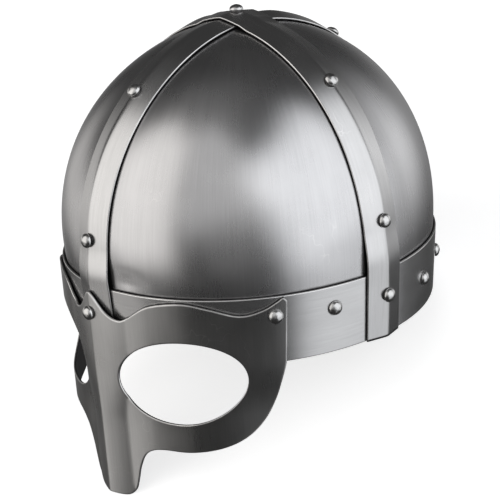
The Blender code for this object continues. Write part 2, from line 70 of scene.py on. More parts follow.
class Quarter(Enum):
    """The four quarters of the dome, by the angle at which each starts."""

    FRONT_RIGHT = -math.pi
    FRONT_LEFT = -math.pi / 2
    REAR_LEFT = 0.0
    REAR_RIGHT = math.pi / 2


class Side(Enum):
    """The four directions of the straps, as angles round the plan."""

    FRONT = -math.pi / 2
    LEFT = 0.0
    REAR = math.pi / 2
    RIGHT = math.pi


class Layer(NamedTuple):
    """Values that each point of a mesh carries for its material, in millimetres."""

    edge: Array
    cover: Array
    rivet: Array
    inside: Array


def smooth(value: Array) -> Array:
    """Ease a share from 0 to 1."""
    value = np.clip(value, 0.0, 1.0)
    return value * value * (3 - 2 * value)


def ease(value: Array, ends: tuple[float, float]) -> Array:
    """Ease from 0 at the first end to 1 at the second."""
    return smooth((value - ends[0]) / (ends[1] - ends[0]))


def mix(first: Array, second: Array, share: Array) -> Array:
    """Go from the first value, at share 0, to the second, at share 1."""
    return first + (second - first) * share


def halve(is_low: Callable[[Array], Array], low: Array, high: Array, times: int) -> Array:
    """Close in, from both sides, on the place where a test changes.

    Args:
        is_low: The test, true on the low side of the place.
        low: Start on the low side.
        high: Start on the high side.
        times: How often the stretch between them is halved.

    Returns:
        The place, from its low side.
    """
    for _ in range(times):
        middle = (low + high) / 2
        found = is_low(middle)
        low, high = np.where(found, middle, low), np.where(found, high, middle)
    return low


def unit(vectors: Array) -> Array:
    """Scale vectors to length 1."""
    return vectors / np.maximum(np.linalg.norm(vectors, axis=-1, keepdims=True), TINY)


def points_of(x: Array, y: Array, z: Array) -> Array:
    """Stack three coordinates into points."""
    return np.stack(np.broadcast_arrays(x, y, z), axis=-1).astype(float)


@dataclass(frozen=True)
class Profile:
    """One curve of the dome from the brow line to the crown, in shares."""

    brow_reach: float
    brow_rise: float
    crown_reach: float

    def reach(self, t: Array) -> Array:
        """Share of the plan radius at t."""
        near = 3 * (1 - t) ** 2 * t * self.brow_reach
        far = 3 * (1 - t) * t * t * self.crown_reach
        return (1 - t) ** 3 + near + far

    def height(self, t: Array) -> Array:
        """Share of the height over the brow line at t."""
        return 3 * (1 - t) ** 2 * t * self.brow_rise + 3 * (1 - t) * t * t + t ** 3


@dataclass(frozen=True)
class Shell:
    """Outside of the domed plates. Level is 0 at the rim, 1 at the brow, 2 at the crown."""

    half_length: float = 0.1120
    half_width: float = 0.1045
    crown: float = 0.1637
    brow: float = 0.0382
    rim_tuck: float = 0.0020
    front: Profile = Profile(1.065, 0.612, 0.468)
    side: Profile = Profile(1.050, 0.717, 0.400)
    rear: Profile = Profile(1.076, 0.640, 0.577)
    probe_step: float = 0.001
    height_halvings: int = 26
    drop_halvings: int = 22
    drop_range: tuple[float, float] = (-0.001, 0.008)
    slant: Point = (0.31, 0.47, 0.83)
    ring_radius: float = 0.002

    def shares(self, angle: Array, t: Array) -> tuple[Array, Array]:
        """Radius and height shares of the dome.

        Args:
            angle: Angle round the plan.
            t: 0 at the brow line, 1 at the crown.

        Returns:
            The radius share and the height share.
        """
        is_front = np.sin(angle) < 0
        part = np.sin(angle) ** 2
        end_reach = np.where(is_front, self.front.reach(t), self.rear.reach(t))
        end_height = np.where(is_front, self.front.height(t), self.rear.height(t))
        return (mix(self.side.reach(t), end_reach, part),
                mix(self.side.height(t), end_height, part))

    def point(self, angle: Array, level: Array) -> Array:
        """Points on the outside of the plates.

        Args:
            angle: Angle round the plan.
            level: Level up the shell.

        Returns:
            The points.
        """
        angle, level = np.broadcast_arrays(angle, level)
        reach, height = self.shares(angle, np.maximum(level - 1, 0.0))
        tuck = self.rim_tuck * np.maximum(1 - level, 0.0)
        rise = np.where(level <= 1, self.brow * level,
                        mix(self.brow, self.crown, height))
        return points_of((self.half_width - tuck) * reach * np.cos(angle),
                         (self.half_length - tuck) * reach * np.sin(angle), rise)

    def normal(self, angle: Array, level: Array) -> Array:
        """Outward directions of the shell, level on its lower wall.

        Args:
            angle: Angle round the plan.
            level: Level up the shell.

        Returns:
            The unit directions.
        """
        angle, level = np.broadcast_arrays(angle, level)
        step = self.probe_step
        low = level < 1
        base = np.where(low, 1.0, np.minimum(level, 2 - 2 * step))
        across = self.point(angle + step, base) - self.point(angle - step, base)
        upward = self.point(angle, base + step) - self.point(angle, base - step)
        normal = unit(np.cross(across, upward))
        flat = unit(points_of(np.cos(angle) / self.half_width,
                              np.sin(angle) / self.half_length, 0.0))
        return np.where(low[..., None], flat, normal)

    def is_outside(self, points: Array) -> Array:
        """Which points lie outside the plates' outer face.

        Args:
            points: Points near the shell.

        Returns:
            True for each point outside.
        """
        x, y, z = points[..., 0], points[..., 1], points[..., 2]
        tuck = self.rim_tuck * np.maximum(1 - z / self.brow, 0.0)
        low = np.hypot(x / (self.half_width - tuck), y / (self.half_length - tuck)) > 1
        angle = np.arctan2(y / self.half_length, x / self.half_width)
        wanted = (z - self.brow) / (self.crown - self.brow)
        place = halve(lambda t: self.shares(angle, t)[1] < wanted,
                      np.zeros_like(z), np.ones_like(z), self.height_halvings)
        radius = np.hypot(x / self.half_width, y / self.half_length)
        high = radius > self.shares(angle, place)[0]
        return np.where(z >= self.crown, True, np.where(z <= self.brow, low, high))

    def drop(self, points: Array, normal: Array) -> Array:
        """Move points against a direction until they meet the shell.

        Args:
            points: Points near the shell.
            normal: Outward direction at each point.

        Returns:
            The points on the shell.
        """
        near, far = (np.full(points.shape[:-1], end) for end in self.drop_range)
        way = halve(lambda down: self.is_outside(points - normal * down[..., None]),
                    near, far, self.drop_halvings)
        return points - normal * way[..., None]

    def direction(self, points: Array) -> Array:
        """Outward direction at points of the shell, from four points near each.

        Args:
            points: Points on the shell.

        Returns:
            The unit directions.
        """
        rise = np.maximum(points[..., 2] - self.brow, 0.0) / (self.crown - self.brow)
        guess = unit(points_of(points[..., 0] / self.half_width ** 2,
                               points[..., 1] / self.half_length ** 2, rise / self.crown))
        first = unit(np.cross(guess, self.slant))
        second = np.cross(guess, first)
        ring = [self.drop(points + side * self.ring_radius, guess)
                for side in (first, second, -first, -second)]
        normal = unit(np.cross(ring[0] - ring[2], ring[1] - ring[3]))
        normal *= np.sign(np.sum(normal * guess, axis=-1, keepdims=True))
        return np.where((points[..., 2] <= self.brow)[..., None], guess, normal)


@dataclass(frozen=True)
class Stack:
    """How thick the sheets are, and how far each layer stands off the plates."""

    plate: float = 0.0015
    band: float = 0.0015
    strap: float = 0.0012
    guard: float = 0.0015
    gap: float = 0.0003
    strap_edge: float = 0.0004
    strap_ridge: float = 0.0027

    @property
    def band_outside(self) -> float:
        """Outer face of the brow band."""
        return self.gap + self.band

    @property
    def strap_inside(self) -> float:
        """Inner face of the straps' edges, over the brow band."""
        return self.band_outside + self.gap

    @property
    def guard_outside(self) -> float:
        """Outer face of the guard beside the straps."""
        return self.strap_inside + self.guard

    @property
    def ridge_at_brow(self) -> float:
        """Top of a strap's ridge over the brow band."""
        return self.strap_inside + self.strap + self.strap_ridge

    @property
    def crease_at_brow(self) -> float:
        """How far the guard's crease stands over its face, to clear the front strap."""
        return self.ridge_at_brow + self.gap + self.guard - self.guard_outside


SHELL = Shell()
STACK = Stack()


@dataclass(frozen=True)
class Rest:
    """How the upright helmet is tipped back onto the floor."""

    tip: float = 0.36117640
    place: Point = (0.0, 0.00251003, 0.04099151)

    def matrix(self) -> Matrix:
        """The move from the upright helmet to the one at rest."""
        return Matrix.Translation(self.place) @ Matrix.Rotation(-self.tip, 4, "X")


REST = Rest()


class RivetPlace(NamedTuple):
    """Where one rivet sits: its node, the shell under it and what its head lies on."""

    node: str
    angle: float
    level: float
    lift: float


@dataclass(frozen=True)
class RivetPlan:
    """Places of all the rivets."""

    strap_levels: tuple[tuple[str, Side, float, float], ...] = (
        ("front", Side.FRONT, 1.117, 1.540),
        ("rear", Side.REAR, 1.117, 1.578),
        ("left", Side.LEFT, 1.112, 1.503),
        ("right", Side.RIGHT, 1.112, 1.503),
    )
    foot_level: float = 0.655
    brow: tuple[tuple[str, float, float], ...] = (
        ("front", -16.8, 0.675),
        ("rear_1", 22.5, 0.485),
        ("rear_2", 45.0, 0.520),
        ("rear_3", 67.5, 0.560),
    )
    guard_end: tuple[float, float] = (-34.0, 0.730)
    guard_centre_level: float = 0.630
    crown_lift: float = 0.005629

    def places(self) -> list[RivetPlace]:
        """All the rivets, each with the node that it replaces.

        Returns:
            The places.
        """
        crest = STACK.strap_edge + STACK.strap_ridge + STACK.strap
        found = [RivetPlace("rivet_crown", Side.FRONT.value, 2.0, self.crown_lift)]
        for name, side, low, high in self.strap_levels:
            found.append(RivetPlace(f"rivet_{name}_low", side.value, low, crest))
            found.append(RivetPlace(f"rivet_{name}_high", side.value, high, crest))
            if side is not Side.FRONT:
                found.append(RivetPlace(f"rivet_{name}_foot", side.value,
                                        self.foot_level, STACK.ridge_at_brow))
        off_middle = [(f"rivet_brow_{{}}_{name}", degrees, level, STACK.band_outside)
                      for name, degrees, level in self.brow]
        off_middle.append(("rivet_guard_end_{}", *self.guard_end, STACK.guard_outside))
        for side_name, mirrored in (("left", False), ("right", True)):
            for name, degrees, level, lift in off_middle:
                angle = math.radians(degrees)
                found.append(RivetPlace(name.format(side_name),
                                        math.pi - angle if mirrored else angle, level, lift))
        lean = SHELL.rim_tuck * (1 - self.guard_centre_level)
        found.append(RivetPlace("rivet_guard_centre", Side.FRONT.value, self.guard_centre_level,
                                STACK.guard_outside + STACK.crease_at_brow + lean))
        return found

    def seats(self) -> Array:
        """Points under the heads, on the outside of the plates."""
        return np.array([SHELL.point(row.angle, row.level) for row in self.places()])


RIVETS = RivetPlan()
SEATS = RIVETS.seats()


def rivet_distance(points: Array) -> Array:
    """Distance from each point to the nearest rivet's seat, in metres."""
    return np.linalg.norm(points[..., None, :] - SEATS, axis=-1).min(axis=-1)


def sheet_layer(points: Array, edge: Array, cover: Array, inside: Array) -> Layer:
    """What the points of a sheet carry for its material.

    Args:
        points: Points of the sheet.
        edge: Distance of each from the sheet's free edge.
        cover: Distance of each from a sheet that lies over this one.
        inside: True for each point of the inner face.

    Returns:
        The values, in millimetres.
    """
    shape = points.shape[:-1]
    return Layer(np.broadcast_to(edge, shape) / MM, np.broadcast_to(cover, shape) / MM,
                 rivet_distance(points) / MM, np.broadcast_to(inside, shape))


def strap_cover(points: Array) -> Array:
    """Distance from each point to the nearest strap's edge, negative under the strap."""
    return np.minimum(np.abs(points[..., 0]), np.abs(points[..., 1])) - STRAP_WIDTH / 2


def flat_of(first: Array, second: Array) -> Array:
    """Stack the two coordinates of a sheet laid flat."""
    return np.stack(np.broadcast_arrays(first, second), axis=-1)


class MeshMaker:
    """Makes the pieces' meshes and puts them in the scene."""

    @staticmethod
    def piece(name: str, points: Array, faces: list, layer: Layer, flat: Array) -> bpy.types.Object:
        """Make one piece from its points and faces.

        Args:
            name: Name of the piece.
            points: Its points in the upright helmet.
            faces: Its faces, as lists of point numbers.
            layer: What each point carries for the material.
            flat: The sheet's own two coordinates at each point, in metres.

        Returns:
            The new object, tipped to its rest.
        """
        mesh = bpy.data.meshes.new(name)
        mesh.from_pydata([tuple(point) for point in points.reshape(-1, 3)], [], faces)
        mesh.update()
        mesh.shade_smooth()
        for label, values in layer._asdict().items():
            attribute = mesh.attributes.new(label + "_mm", "FLOAT", "POINT")
            attribute.data.foreach_set("value", np.ravel(values).astype(np.float32))
        corner_points = np.empty(len(mesh.loops), dtype=np.int32)
        mesh.loops.foreach_get("vertex_index", corner_points)
        sheet = mesh.uv_layers.new(name="Sheet")
        sheet.data.foreach_set("uv", flat.reshape(-1, 2)[corner_points].astype(np.float32).ravel())
        thing = bpy.data.objects.new(name, mesh)
        bpy.context.scene.collection.objects.link(thing)
        mesh.transform(REST.matrix())
        return thing

    @staticmethod
    def tube(name: str, points: Array, layer: Layer, flat: Array, closed: bool) -> bpy.types.Object:
        """Make a piece whose points are closed sections along a path."""
        faces = MeshMaker.tube_faces(*points.shape[:2], closed)
        return MeshMaker.piece(name, points, faces, layer, flat)

    @staticmethod
    def tube_faces(stations: int, around: int, closed: bool) -> list:
        """Faces of a solid whose section is a loop that is carried along a path.

        Args:
            stations: How many sections there are.
            around: How many points each section has.
            closed: True if the last section joins the first.

        Returns:
            The faces.
        """
        faces = []
        for row in range(stations if closed else stations - 1):
            here, there = row * around, (row + 1) % stations * around
            for k in range(around):
                after = (k + 1) % around
                faces.append((here + k, here + after, there + after, there + k))
        if not closed:
            faces.append(tuple(reversed(range(around))))
            last = (stations - 1) * around
            faces.append(tuple(range(last, last + around)))
        return faces


def sheet_section(width: float, thickness: float, radius: float, count: int) -> Array:
    """Section of a flat strip with rounded edges, as a closed loop.

    Args:
        width: Width of the strip.
        thickness: Thickness of the sheet.
        radius: Radius of the rounded edges.
        count: Points across each face.

    Returns:
        Rows of distance across from the middle, depth under the outer face.
    """
    half = width / 2
    rounded = half - radius
    even = half - radius * EVEN_FROM
    across = np.concatenate([[-rounded], np.linspace(-even, even, count), [rounded]])
    turns = np.radians(EDGE_TURNS)
    arc_in = radius * (1 - np.sin(turns))
    arc_down = radius * (1 - np.cos(turns))
    top = np.stack([across, np.zeros_like(across)], axis=1)
    right = np.stack([half - arc_in, arc_down], axis=1)
    right_low = np.stack([right[::-1, 0], thickness - right[::-1, 1]], axis=1)
    bottom = np.stack([across[::-1], np.full_like(across, thickness)], axis=1)
    left_low = np.stack([-right[:, 0], thickness - right[:, 1]], axis=1)
    left = np.stack([-right[::-1, 0], right[::-1, 1]], axis=1)
    return np.concatenate([top, right, right_low, bottom, left_low, left])


def wander(a: Array, b: Array, seed: int, cycles: float) -> Array:
    """A slow uneven wave over a sheet, the same each run.

    Args:
        a: First coordinate, in metres.
        b: Second coordinate, in metres.
        seed: Number that picks the wave.
        cycles: Waves per metre.

    Returns:
        Values mostly between -1 and 1.
    """
    rng = np.random.default_rng(seed)
    waves, last_start, slowest, fastest = 6, 6.28, 0.5, 1.3
    total = np.zeros(np.broadcast(a, b).shape)
    for _ in range(waves):
        turn = rng.uniform(0, 2 * math.pi)
        start = rng.uniform(0, last_start)
        pace = rng.uniform(slowest, fastest)
        along = a * math.cos(turn) + b * math.sin(turn)
        total = total + np.sin(2 * math.pi * cycles * pace * along + start)
    return total / (waves / 2)


@dataclass(frozen=True)
class SteelFinish:
    """One finish of bare steel, how it is worn, and the light and shade painted on it."""

    name: str
    slot: str
    metal: Colour
    rubbed: Colour = (0.80, 0.79, 0.78)
    # The next colour is painted shade, darkening gaps under overlying pieces and rings round the
    # rivets.
    dark: Colour = (0.045, 0.043, 0.045)
    # Colour of the inner faces: unpolished steel, darkened further as painted shade.
    raw_shaded_inside: Colour = (0.07, 0.068, 0.068)
    roughness: float = 0.27
    roughness_spread: float = 0.025
    streak_spread: float = 0.009
    streaks_across: float = 1300.0
    streaks_along: float = 40.0
    streak_depth: float = 0.038
    scratch_share: float = 0.30
    bump: float = 0.004
    # Painted light: the colour is scaled from the first value at a sheet's middle line to the second
    # at its ends.
    centre_painted_light: float = 1.0
    side_painted_light: float = 1.0
    blotch_scale: float = 26.0
    blotch_depth: float = 0.05
    edge_width: float = 0.7
    # The next two set the painted shade along gaps: its width in millimetres and the roughness added
    # under it.
    shade_width: float = 0.9
    gap_shade_roughness: float = 0.35
    raw_roughness: float = 0.25
    bump_distance: float = 0.0002
    painted_falloff_reach: tuple[float, float] = (0.010, 0.055)

    def material(self) -> bpy.types.Material:
        """Build the finish as a node material.

        Returns:
            The material.
        """
        material = bpy.data.materials.new(self.name)
        material.use_nodes = True
        sketch = Sketch(material.node_tree)
        shader = material.node_tree.nodes["Principled BSDF"]
        shader.inputs["Metallic"].default_value = 1.0
        place = sketch.add("ShaderNodeTexCoord").outputs["Object"]
        sheet = sketch.add("ShaderNodeUVMap")
        sheet.uv_map = "Sheet"
        streaks = sketch.group(STREAKS, {
            "Sheet": sheet.outputs["UV"], "Across": self.streaks_across,
            "Along": self.streaks_along})
        blotches = sketch.group(BLOTCHES, {"Place": place, "Scale": self.blotch_scale})
        rub = sketch.group(RUB, {
            "Edge": sketch.carried("edge_mm"), "Width": self.edge_width, "Place": place})
        # Painted shade along gaps under overlying pieces and round the rivets.
        gap_shade = sketch.group(GAP_SHADE_GROUP, {
            "Cover": sketch.carried("cover_mm"), "Rivet": sketch.carried("rivet_mm"),
            "Width": self.shade_width, "Place": place})
        # The inner faces take a dark colour: unpolished steel and painted shade.
        inside = sketch.carried("inside_mm")
        streak, cloud = streaks.outputs["Streak"], blotches.outputs["Mask"]
        value = sketch.math("MULTIPLY", sketch.around(streak, 1.0, self.streak_depth),
                            sketch.around(cloud, 1.0, self.blotch_depth))
        # Painted light and shade, lighter at the sheet's middle line than at its ends.
        if self.centre_painted_light != self.side_painted_light:
            value = sketch.math("MULTIPLY", value, self.painted_falloff(sketch, sheet.outputs["UV"]))
        colour = sketch.vector("SCALE", first=self.metal, scale=value)
        scratches = sketch.group(SCRATCHES, {"Place": place})
        scratched = sketch.math("MULTIPLY", scratches.outputs["Mask"], self.scratch_share)
        # Scratches and rubbed edges lighten the colour as wear; the gap mask darkens it as painted
        # shade.
        for share, worn in ((scratched, self.rubbed), (rub.outputs["Mask"], self.rubbed),
                            (gap_shade.outputs["Mask"], self.dark), (inside, self.raw_shaded_inside)):
            colour = sketch.blend(share, colour, worn)
        sketch.link(colour, shader.inputs["Base Color"])
        rough = sketch.around(cloud, self.roughness, self.roughness_spread / 2)
        for mask, more in ((streak, self.streak_spread), (inside, self.raw_roughness),
                           (gap_shade.outputs["Mask"], self.gap_shade_roughness)):
            rough = sketch.math("MULTIPLY_ADD", mask, more, rough)
        sketch.link(rough, shader.inputs["Roughness"])
        bump = sketch.add("ShaderNodeBump")
        bump.inputs["Strength"].default_value = self.bump
        bump.inputs["Distance"].default_value = self.bump_distance
        sketch.link(streaks.outputs["Height"], bump.inputs["Height"])
        sketch.link(bump.outputs["Normal"], shader.inputs["Normal"])
        return material

    def painted_falloff(self, sketch: "Sketch", sheet: Socket) -> Socket:
        """Painted light and shade: brightness that falls off from a sheet's middle line to its ends.

        Args:
            sketch: The material's sketch.
            sheet: The sheet's own coordinates.

        Returns:
            The brightness's socket.
        """
        parts = sketch.add("ShaderNodeSeparateXYZ")
        sketch.link(sheet, parts.inputs[0])
        away = sketch.ramp(sketch.math("ABSOLUTE", parts.outputs["X"]), *self.painted_falloff_reach)
        return sketch.math("MULTIPLY_ADD", away, self.side_painted_light - self.centre_painted_light,
                           self.centre_painted_light)


class Sketch:
    """Short ways to add nodes to one node tree."""

    def __init__(self, tree: bpy.types.NodeTree) -> None:
        """Keep the tree that the nodes go into."""
        self.tree = tree

    def add(self, kind: str) -> bpy.types.Node:
        """Add a node of a kind."""
        return self.tree.nodes.new(kind)

    def link(self, value: object, socket: Socket) -> None:
        """Feed a socket from another one, or set it to a plain value.

        Args:
            value: A socket, a number or a colour.
            socket: The input to feed.
        """
        if isinstance(value, Socket):
            self.tree.links.new(value, socket)
        elif isinstance(value, tuple) and len(value) == 3 and socket.type == "RGBA":
            socket.default_value = (*value, 1.0)
        else:
            socket.default_value = value

    def group(self, group: "SharedGroup", values: dict[str, object]) -> bpy.types.Node:
        """Place a node group with its own values.

        Args:
            group: The group.
            values: What feeds each named input.

        Returns:
            The group's node.
        """
        node = self.add("ShaderNodeGroup")
        node.node_tree = group.tree()
        for name, value in values.items():
            self.link(value, node.inputs[name])
        return node

    def math(self, operation: str, *values: object) -> Socket:
        """Do one sum with a Math node.

        Args:
            operation: The node's operation.
            *values: What feeds its inputs, in order.

        Returns:
            The result's socket.
        """
        node = self.add("ShaderNodeMath")
        node.operation = operation
        for value, socket in zip(values, node.inputs):
            self.link(value, socket)
        return node.outputs[0]

    def around(self, value: Socket, middle: float, spread: float) -> Socket:
        """Take a value from 0 to 1 to as much under and over a middle one."""
        return self.math("MULTIPLY_ADD", value, 2 * spread, middle - spread)

    def ramp(self, value: object, start: object, end: object) -> Socket:
        """Ease from 0 at start to 1 at end.

        Args:
            value: The value to ease.
            start: Where it is 0.
            end: Where it is 1.

        Returns:
            The eased value's socket.
        """
        node = self.add("ShaderNodeMapRange")
        node.interpolation_type = "SMOOTHSTEP"
        for name, given in (("Value", value), ("From Min", start), ("From Max", end)):
            self.link(given, node.inputs[name])
        return node.outputs["Result"]

    def blend(self, share: object, first: object, second: object) -> Socket:
        """Go from the first colour to the second.

        Args:
            share: 0 for the first colour, 1 for the second.
            first: A colour or a socket.
            second: A colour or a socket.

        Returns:
            The blended colour's socket.
        """
        node = self.add("ShaderNodeMix")
        node.data_type = "RGBA"
        node.clamp_factor = True
        factor, first_colour, second_colour, blended = 0, 6, 7, 2
        self.link(share, node.inputs[factor])
        self.link(first, node.inputs[first_colour])
        self.link(second, node.inputs[second_colour])
        return node.outputs[blended]

    def vector(self, operation: str, **values: object) -> Socket:
        """Do one sum with a Vector Math node.

        Args:
            operation: The node's operation.
            **values: What feeds its inputs: first, second, third or scale.

        Returns:
            The result's socket.
        """
        node = self.add("ShaderNodeVectorMath")
        node.operation = operation
        places = {"first": 0, "second": 1, "third": 2, "scale": 3}
        for name, value in values.items():
            self.link(value, node.inputs[places[name]])
        return node.outputs[0]

    def noise(self, vector: object, scale: object, detail: float) -> Socket:
        """Add a noise texture.

        Args:
            vector: Coordinates.
            scale: Scale of the noise.
            detail: How many finer layers it has.

        Returns:
            The noise value's socket.
        """
        node = self.add("ShaderNodeTexNoise")
        self.link(vector, node.inputs["Vector"])
        self.link(scale, node.inputs["Scale"])
        node.inputs["Detail"].default_value = detail
        return node.outputs["Fac"]

    def carried(self, name: str) -> Socket:
        """Read a value that the mesh's points carry."""
        node = self.add("ShaderNodeAttribute")
        node.attribute_name = name
        return node.outputs["Fac"]


@dataclass(frozen=True)
class SharedGroup:
    """A node group with named sockets, drawn at its first use and named after its function."""

    draw: Callable[[Sketch, Sockets, Sockets], None]
    inputs: dict[str, str]
    outputs: tuple[str, ...] = ("Mask",)

    def tree(self) -> bpy.types.NodeTree:
        """Find the group, or draw it.

        Returns:
            The group.
        """
        name = self.draw.__name__
        tree = bpy.data.node_groups.get(name)
        if tree is None:
            tree = bpy.data.node_groups.new(name, "ShaderNodeTree")
            for label, kind in self.inputs.items():
                tree.interface.new_socket(label, in_out="INPUT", socket_type=kind)
            for label in self.outputs:
                tree.interface.new_socket(label, in_out="OUTPUT", socket_type=VALUE)
            sketch = Sketch(tree)
            start, end = sketch.add("NodeGroupInput"), sketch.add("NodeGroupOutput")
            self.draw(sketch, start.outputs, end.inputs)
        return tree


def brushed_streaks(sketch: Sketch, given: Sockets, made: Sockets) -> None:
    """Fine lines along a sheet, with a few longer and deeper ones.

    Args:
        sketch: Sketch of the group.
        given: The group's inputs.
        made: Its outputs.
    """
    stretch = sketch.add("ShaderNodeCombineXYZ")
    sketch.link(given["Across"], stretch.inputs["X"])
    sketch.link(given["Along"], stretch.inputs["Y"])
    scaled = sketch.vector("MULTIPLY", first=given["Sheet"], second=stretch.outputs[0])
    fine = sketch.noise(scaled, scale=1.0, detail=1.0)
    broad = sketch.noise(scaled, scale=0.13, detail=2.0)
    broad_share = 0.45
    value = sketch.math("MULTIPLY_ADD", broad, broad_share,
                        sketch.math("MULTIPLY", fine, 1 - broad_share))
    sketch.link(sketch.ramp(value, start=0.30, end=0.70), made["Streak"])
    sketch.link(fine, made["Height"])


def soft_blotches(sketch: Sketch, given: Sockets, made: Sockets) -> None:
    """Slow uneven clouding of a sheet."""
    cloud = sketch.noise(given["Place"], scale=given["Scale"], detail=4.0)
    sketch.link(sketch.ramp(cloud, start=0.32, end=0.68), made["Mask"])


def edge_rub(sketch: Sketch, given: Sockets, made: Sockets) -> None:
    """Bright rubbed edges of a sheet, a little uneven.

    Args:
        sketch: Sketch of the group.
        given: The group's inputs.
        made: Its outputs.
    """
    uneven = sketch.noise(given["Place"], scale=240.0, detail=3.0)
    reach = sketch.math("MULTIPLY", given["Width"], sketch.around(uneven, middle=0.95, spread=0.75))
    stretches = sketch.noise(given["Place"], scale=55.0, detail=2.0)
    stretches = sketch.ramp(stretches, start=0.36, end=0.60)
    share = sketch.around(stretches, middle=0.625, spread=0.375)
    near = sketch.ramp(given["Edge"], start=reach, end=0.0)
    sketch.link(sketch.math("MULTIPLY", near, share), made["Mask"])


def light_scratches(sketch: Sketch, given: Sockets, made: Sockets) -> None:
    """Hairline scratches, in a few patches.

    Args:
        sketch: Sketch of the group.
        given: The group's inputs.
        made: Its outputs.
    """
    wave = sketch.noise(given["Place"], scale=75.0, detail=2.0)
    middle = 0.5
    away = sketch.math("ABSOLUTE", sketch.math("SUBTRACT", wave, middle))
    line = sketch.ramp(away, start=0.012, end=0.0)
    patches = sketch.noise(given["Place"], scale=24.0, detail=2.0)
    patch = sketch.ramp(patches, start=0.56, end=0.66)
    sketch.link(sketch.math("MULTIPLY", line, patch), made["Mask"])


def painted_gap_shade(sketch: Sketch, given: Sockets, made: Sockets) -> None:
    """Painted shade: dark lines where another piece lies over a sheet, and dark rings round the
    rivets' heads.

    Args:
        sketch: Sketch of the group.
        given: The group's inputs.
        made: Its outputs.
    """
    head_mm, gap_mm, ring_share = 4.0, 0.25, 0.95
    uneven = sketch.noise(given["Place"], scale=160.0, detail=3.0)
    reach = sketch.math("MULTIPLY", given["Width"], sketch.around(uneven, middle=1.0, spread=0.6))
    # Painted shade along the edge of an overlying piece.
    line = sketch.ramp(given["Cover"], start=reach, end=0.0)
    # Painted shade ring round each rivet's head.
    ring_reach = sketch.math("ADD", reach, head_mm + gap_mm)
    ring = sketch.ramp(given["Rivet"], start=ring_reach, end=head_mm)
    ring = sketch.math("MULTIPLY", ring, ring_share)
    sketch.link(sketch.math("MAXIMUM", line, ring), made["Mask"])


STREAKS = SharedGroup(brushed_streaks, {"Sheet": VECTOR, "Across": VALUE, "Along": VALUE},
                      ("Streak", "Height"))
BLOTCHES = SharedGroup(soft_blotches, {"Place": VECTOR, "Scale": VALUE})
RUB = SharedGroup(edge_rub, {"Edge": VALUE, "Width": VALUE, "Place": VECTOR})
SCRATCHES = SharedGroup(light_scratches, {"Place": VECTOR})
GAP_SHADE_GROUP = SharedGroup(painted_gap_shade, {"Cover": VALUE, "Rivet": VALUE, "Width": VALUE, "Place": VECTOR})


PLATE_STEEL = SteelFinish("plate_steel_satin", "plate_steel", (0.56, 0.555, 0.56))
BAND_STEEL = SteelFinish("band_steel_satin", "band_steel", (0.66, 0.655, 0.655),
                         streaks_across=900.0, roughness=0.26)
STRAP_STEEL = SteelFinish("strap_steel_satin", "band_steel", (0.57, 0.565, 0.565),
                          streaks_across=900.0, roughness=0.26)
# The guard is painted lighter near the nose line and darker towards its ends.
GUARD_STEEL = SteelFinish("guard_steel_satin", "guard_steel", (0.55, 0.545, 0.54),
                          roughness=0.28, centre_painted_light=1.18, side_painted_light=0.80)
RIVET_STEEL = SteelFinish("rivet_steel_bright", "rivet_steel", (0.60, 0.595, 0.59),
                          roughness=0.24, streak_depth=0.03, bump=0.0)


def finished(thing: bpy.types.Object, material: bpy.types.Material,
             nodes: tuple[str, ...]) -> bpy.types.Object:
    """Dress a piece and fix it to the frame.

    Args:
        thing: The piece.
        material: Its material.
        nodes: The CAD nodes that it stands for.

    Returns:
        The piece.
    """
    thing.data.materials.append(material)
    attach(thing, "root")
    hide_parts(*nodes)
    LOG.info("%s: %d faces", thing.name, len(thing.data.polygons))
    return thing


class Dent(NamedTuple):
    """A shallow push into or out of a plate, sizes in metres."""

    angle: float
    level: float
    reach_across: float
    reach_up: float
    depth: float


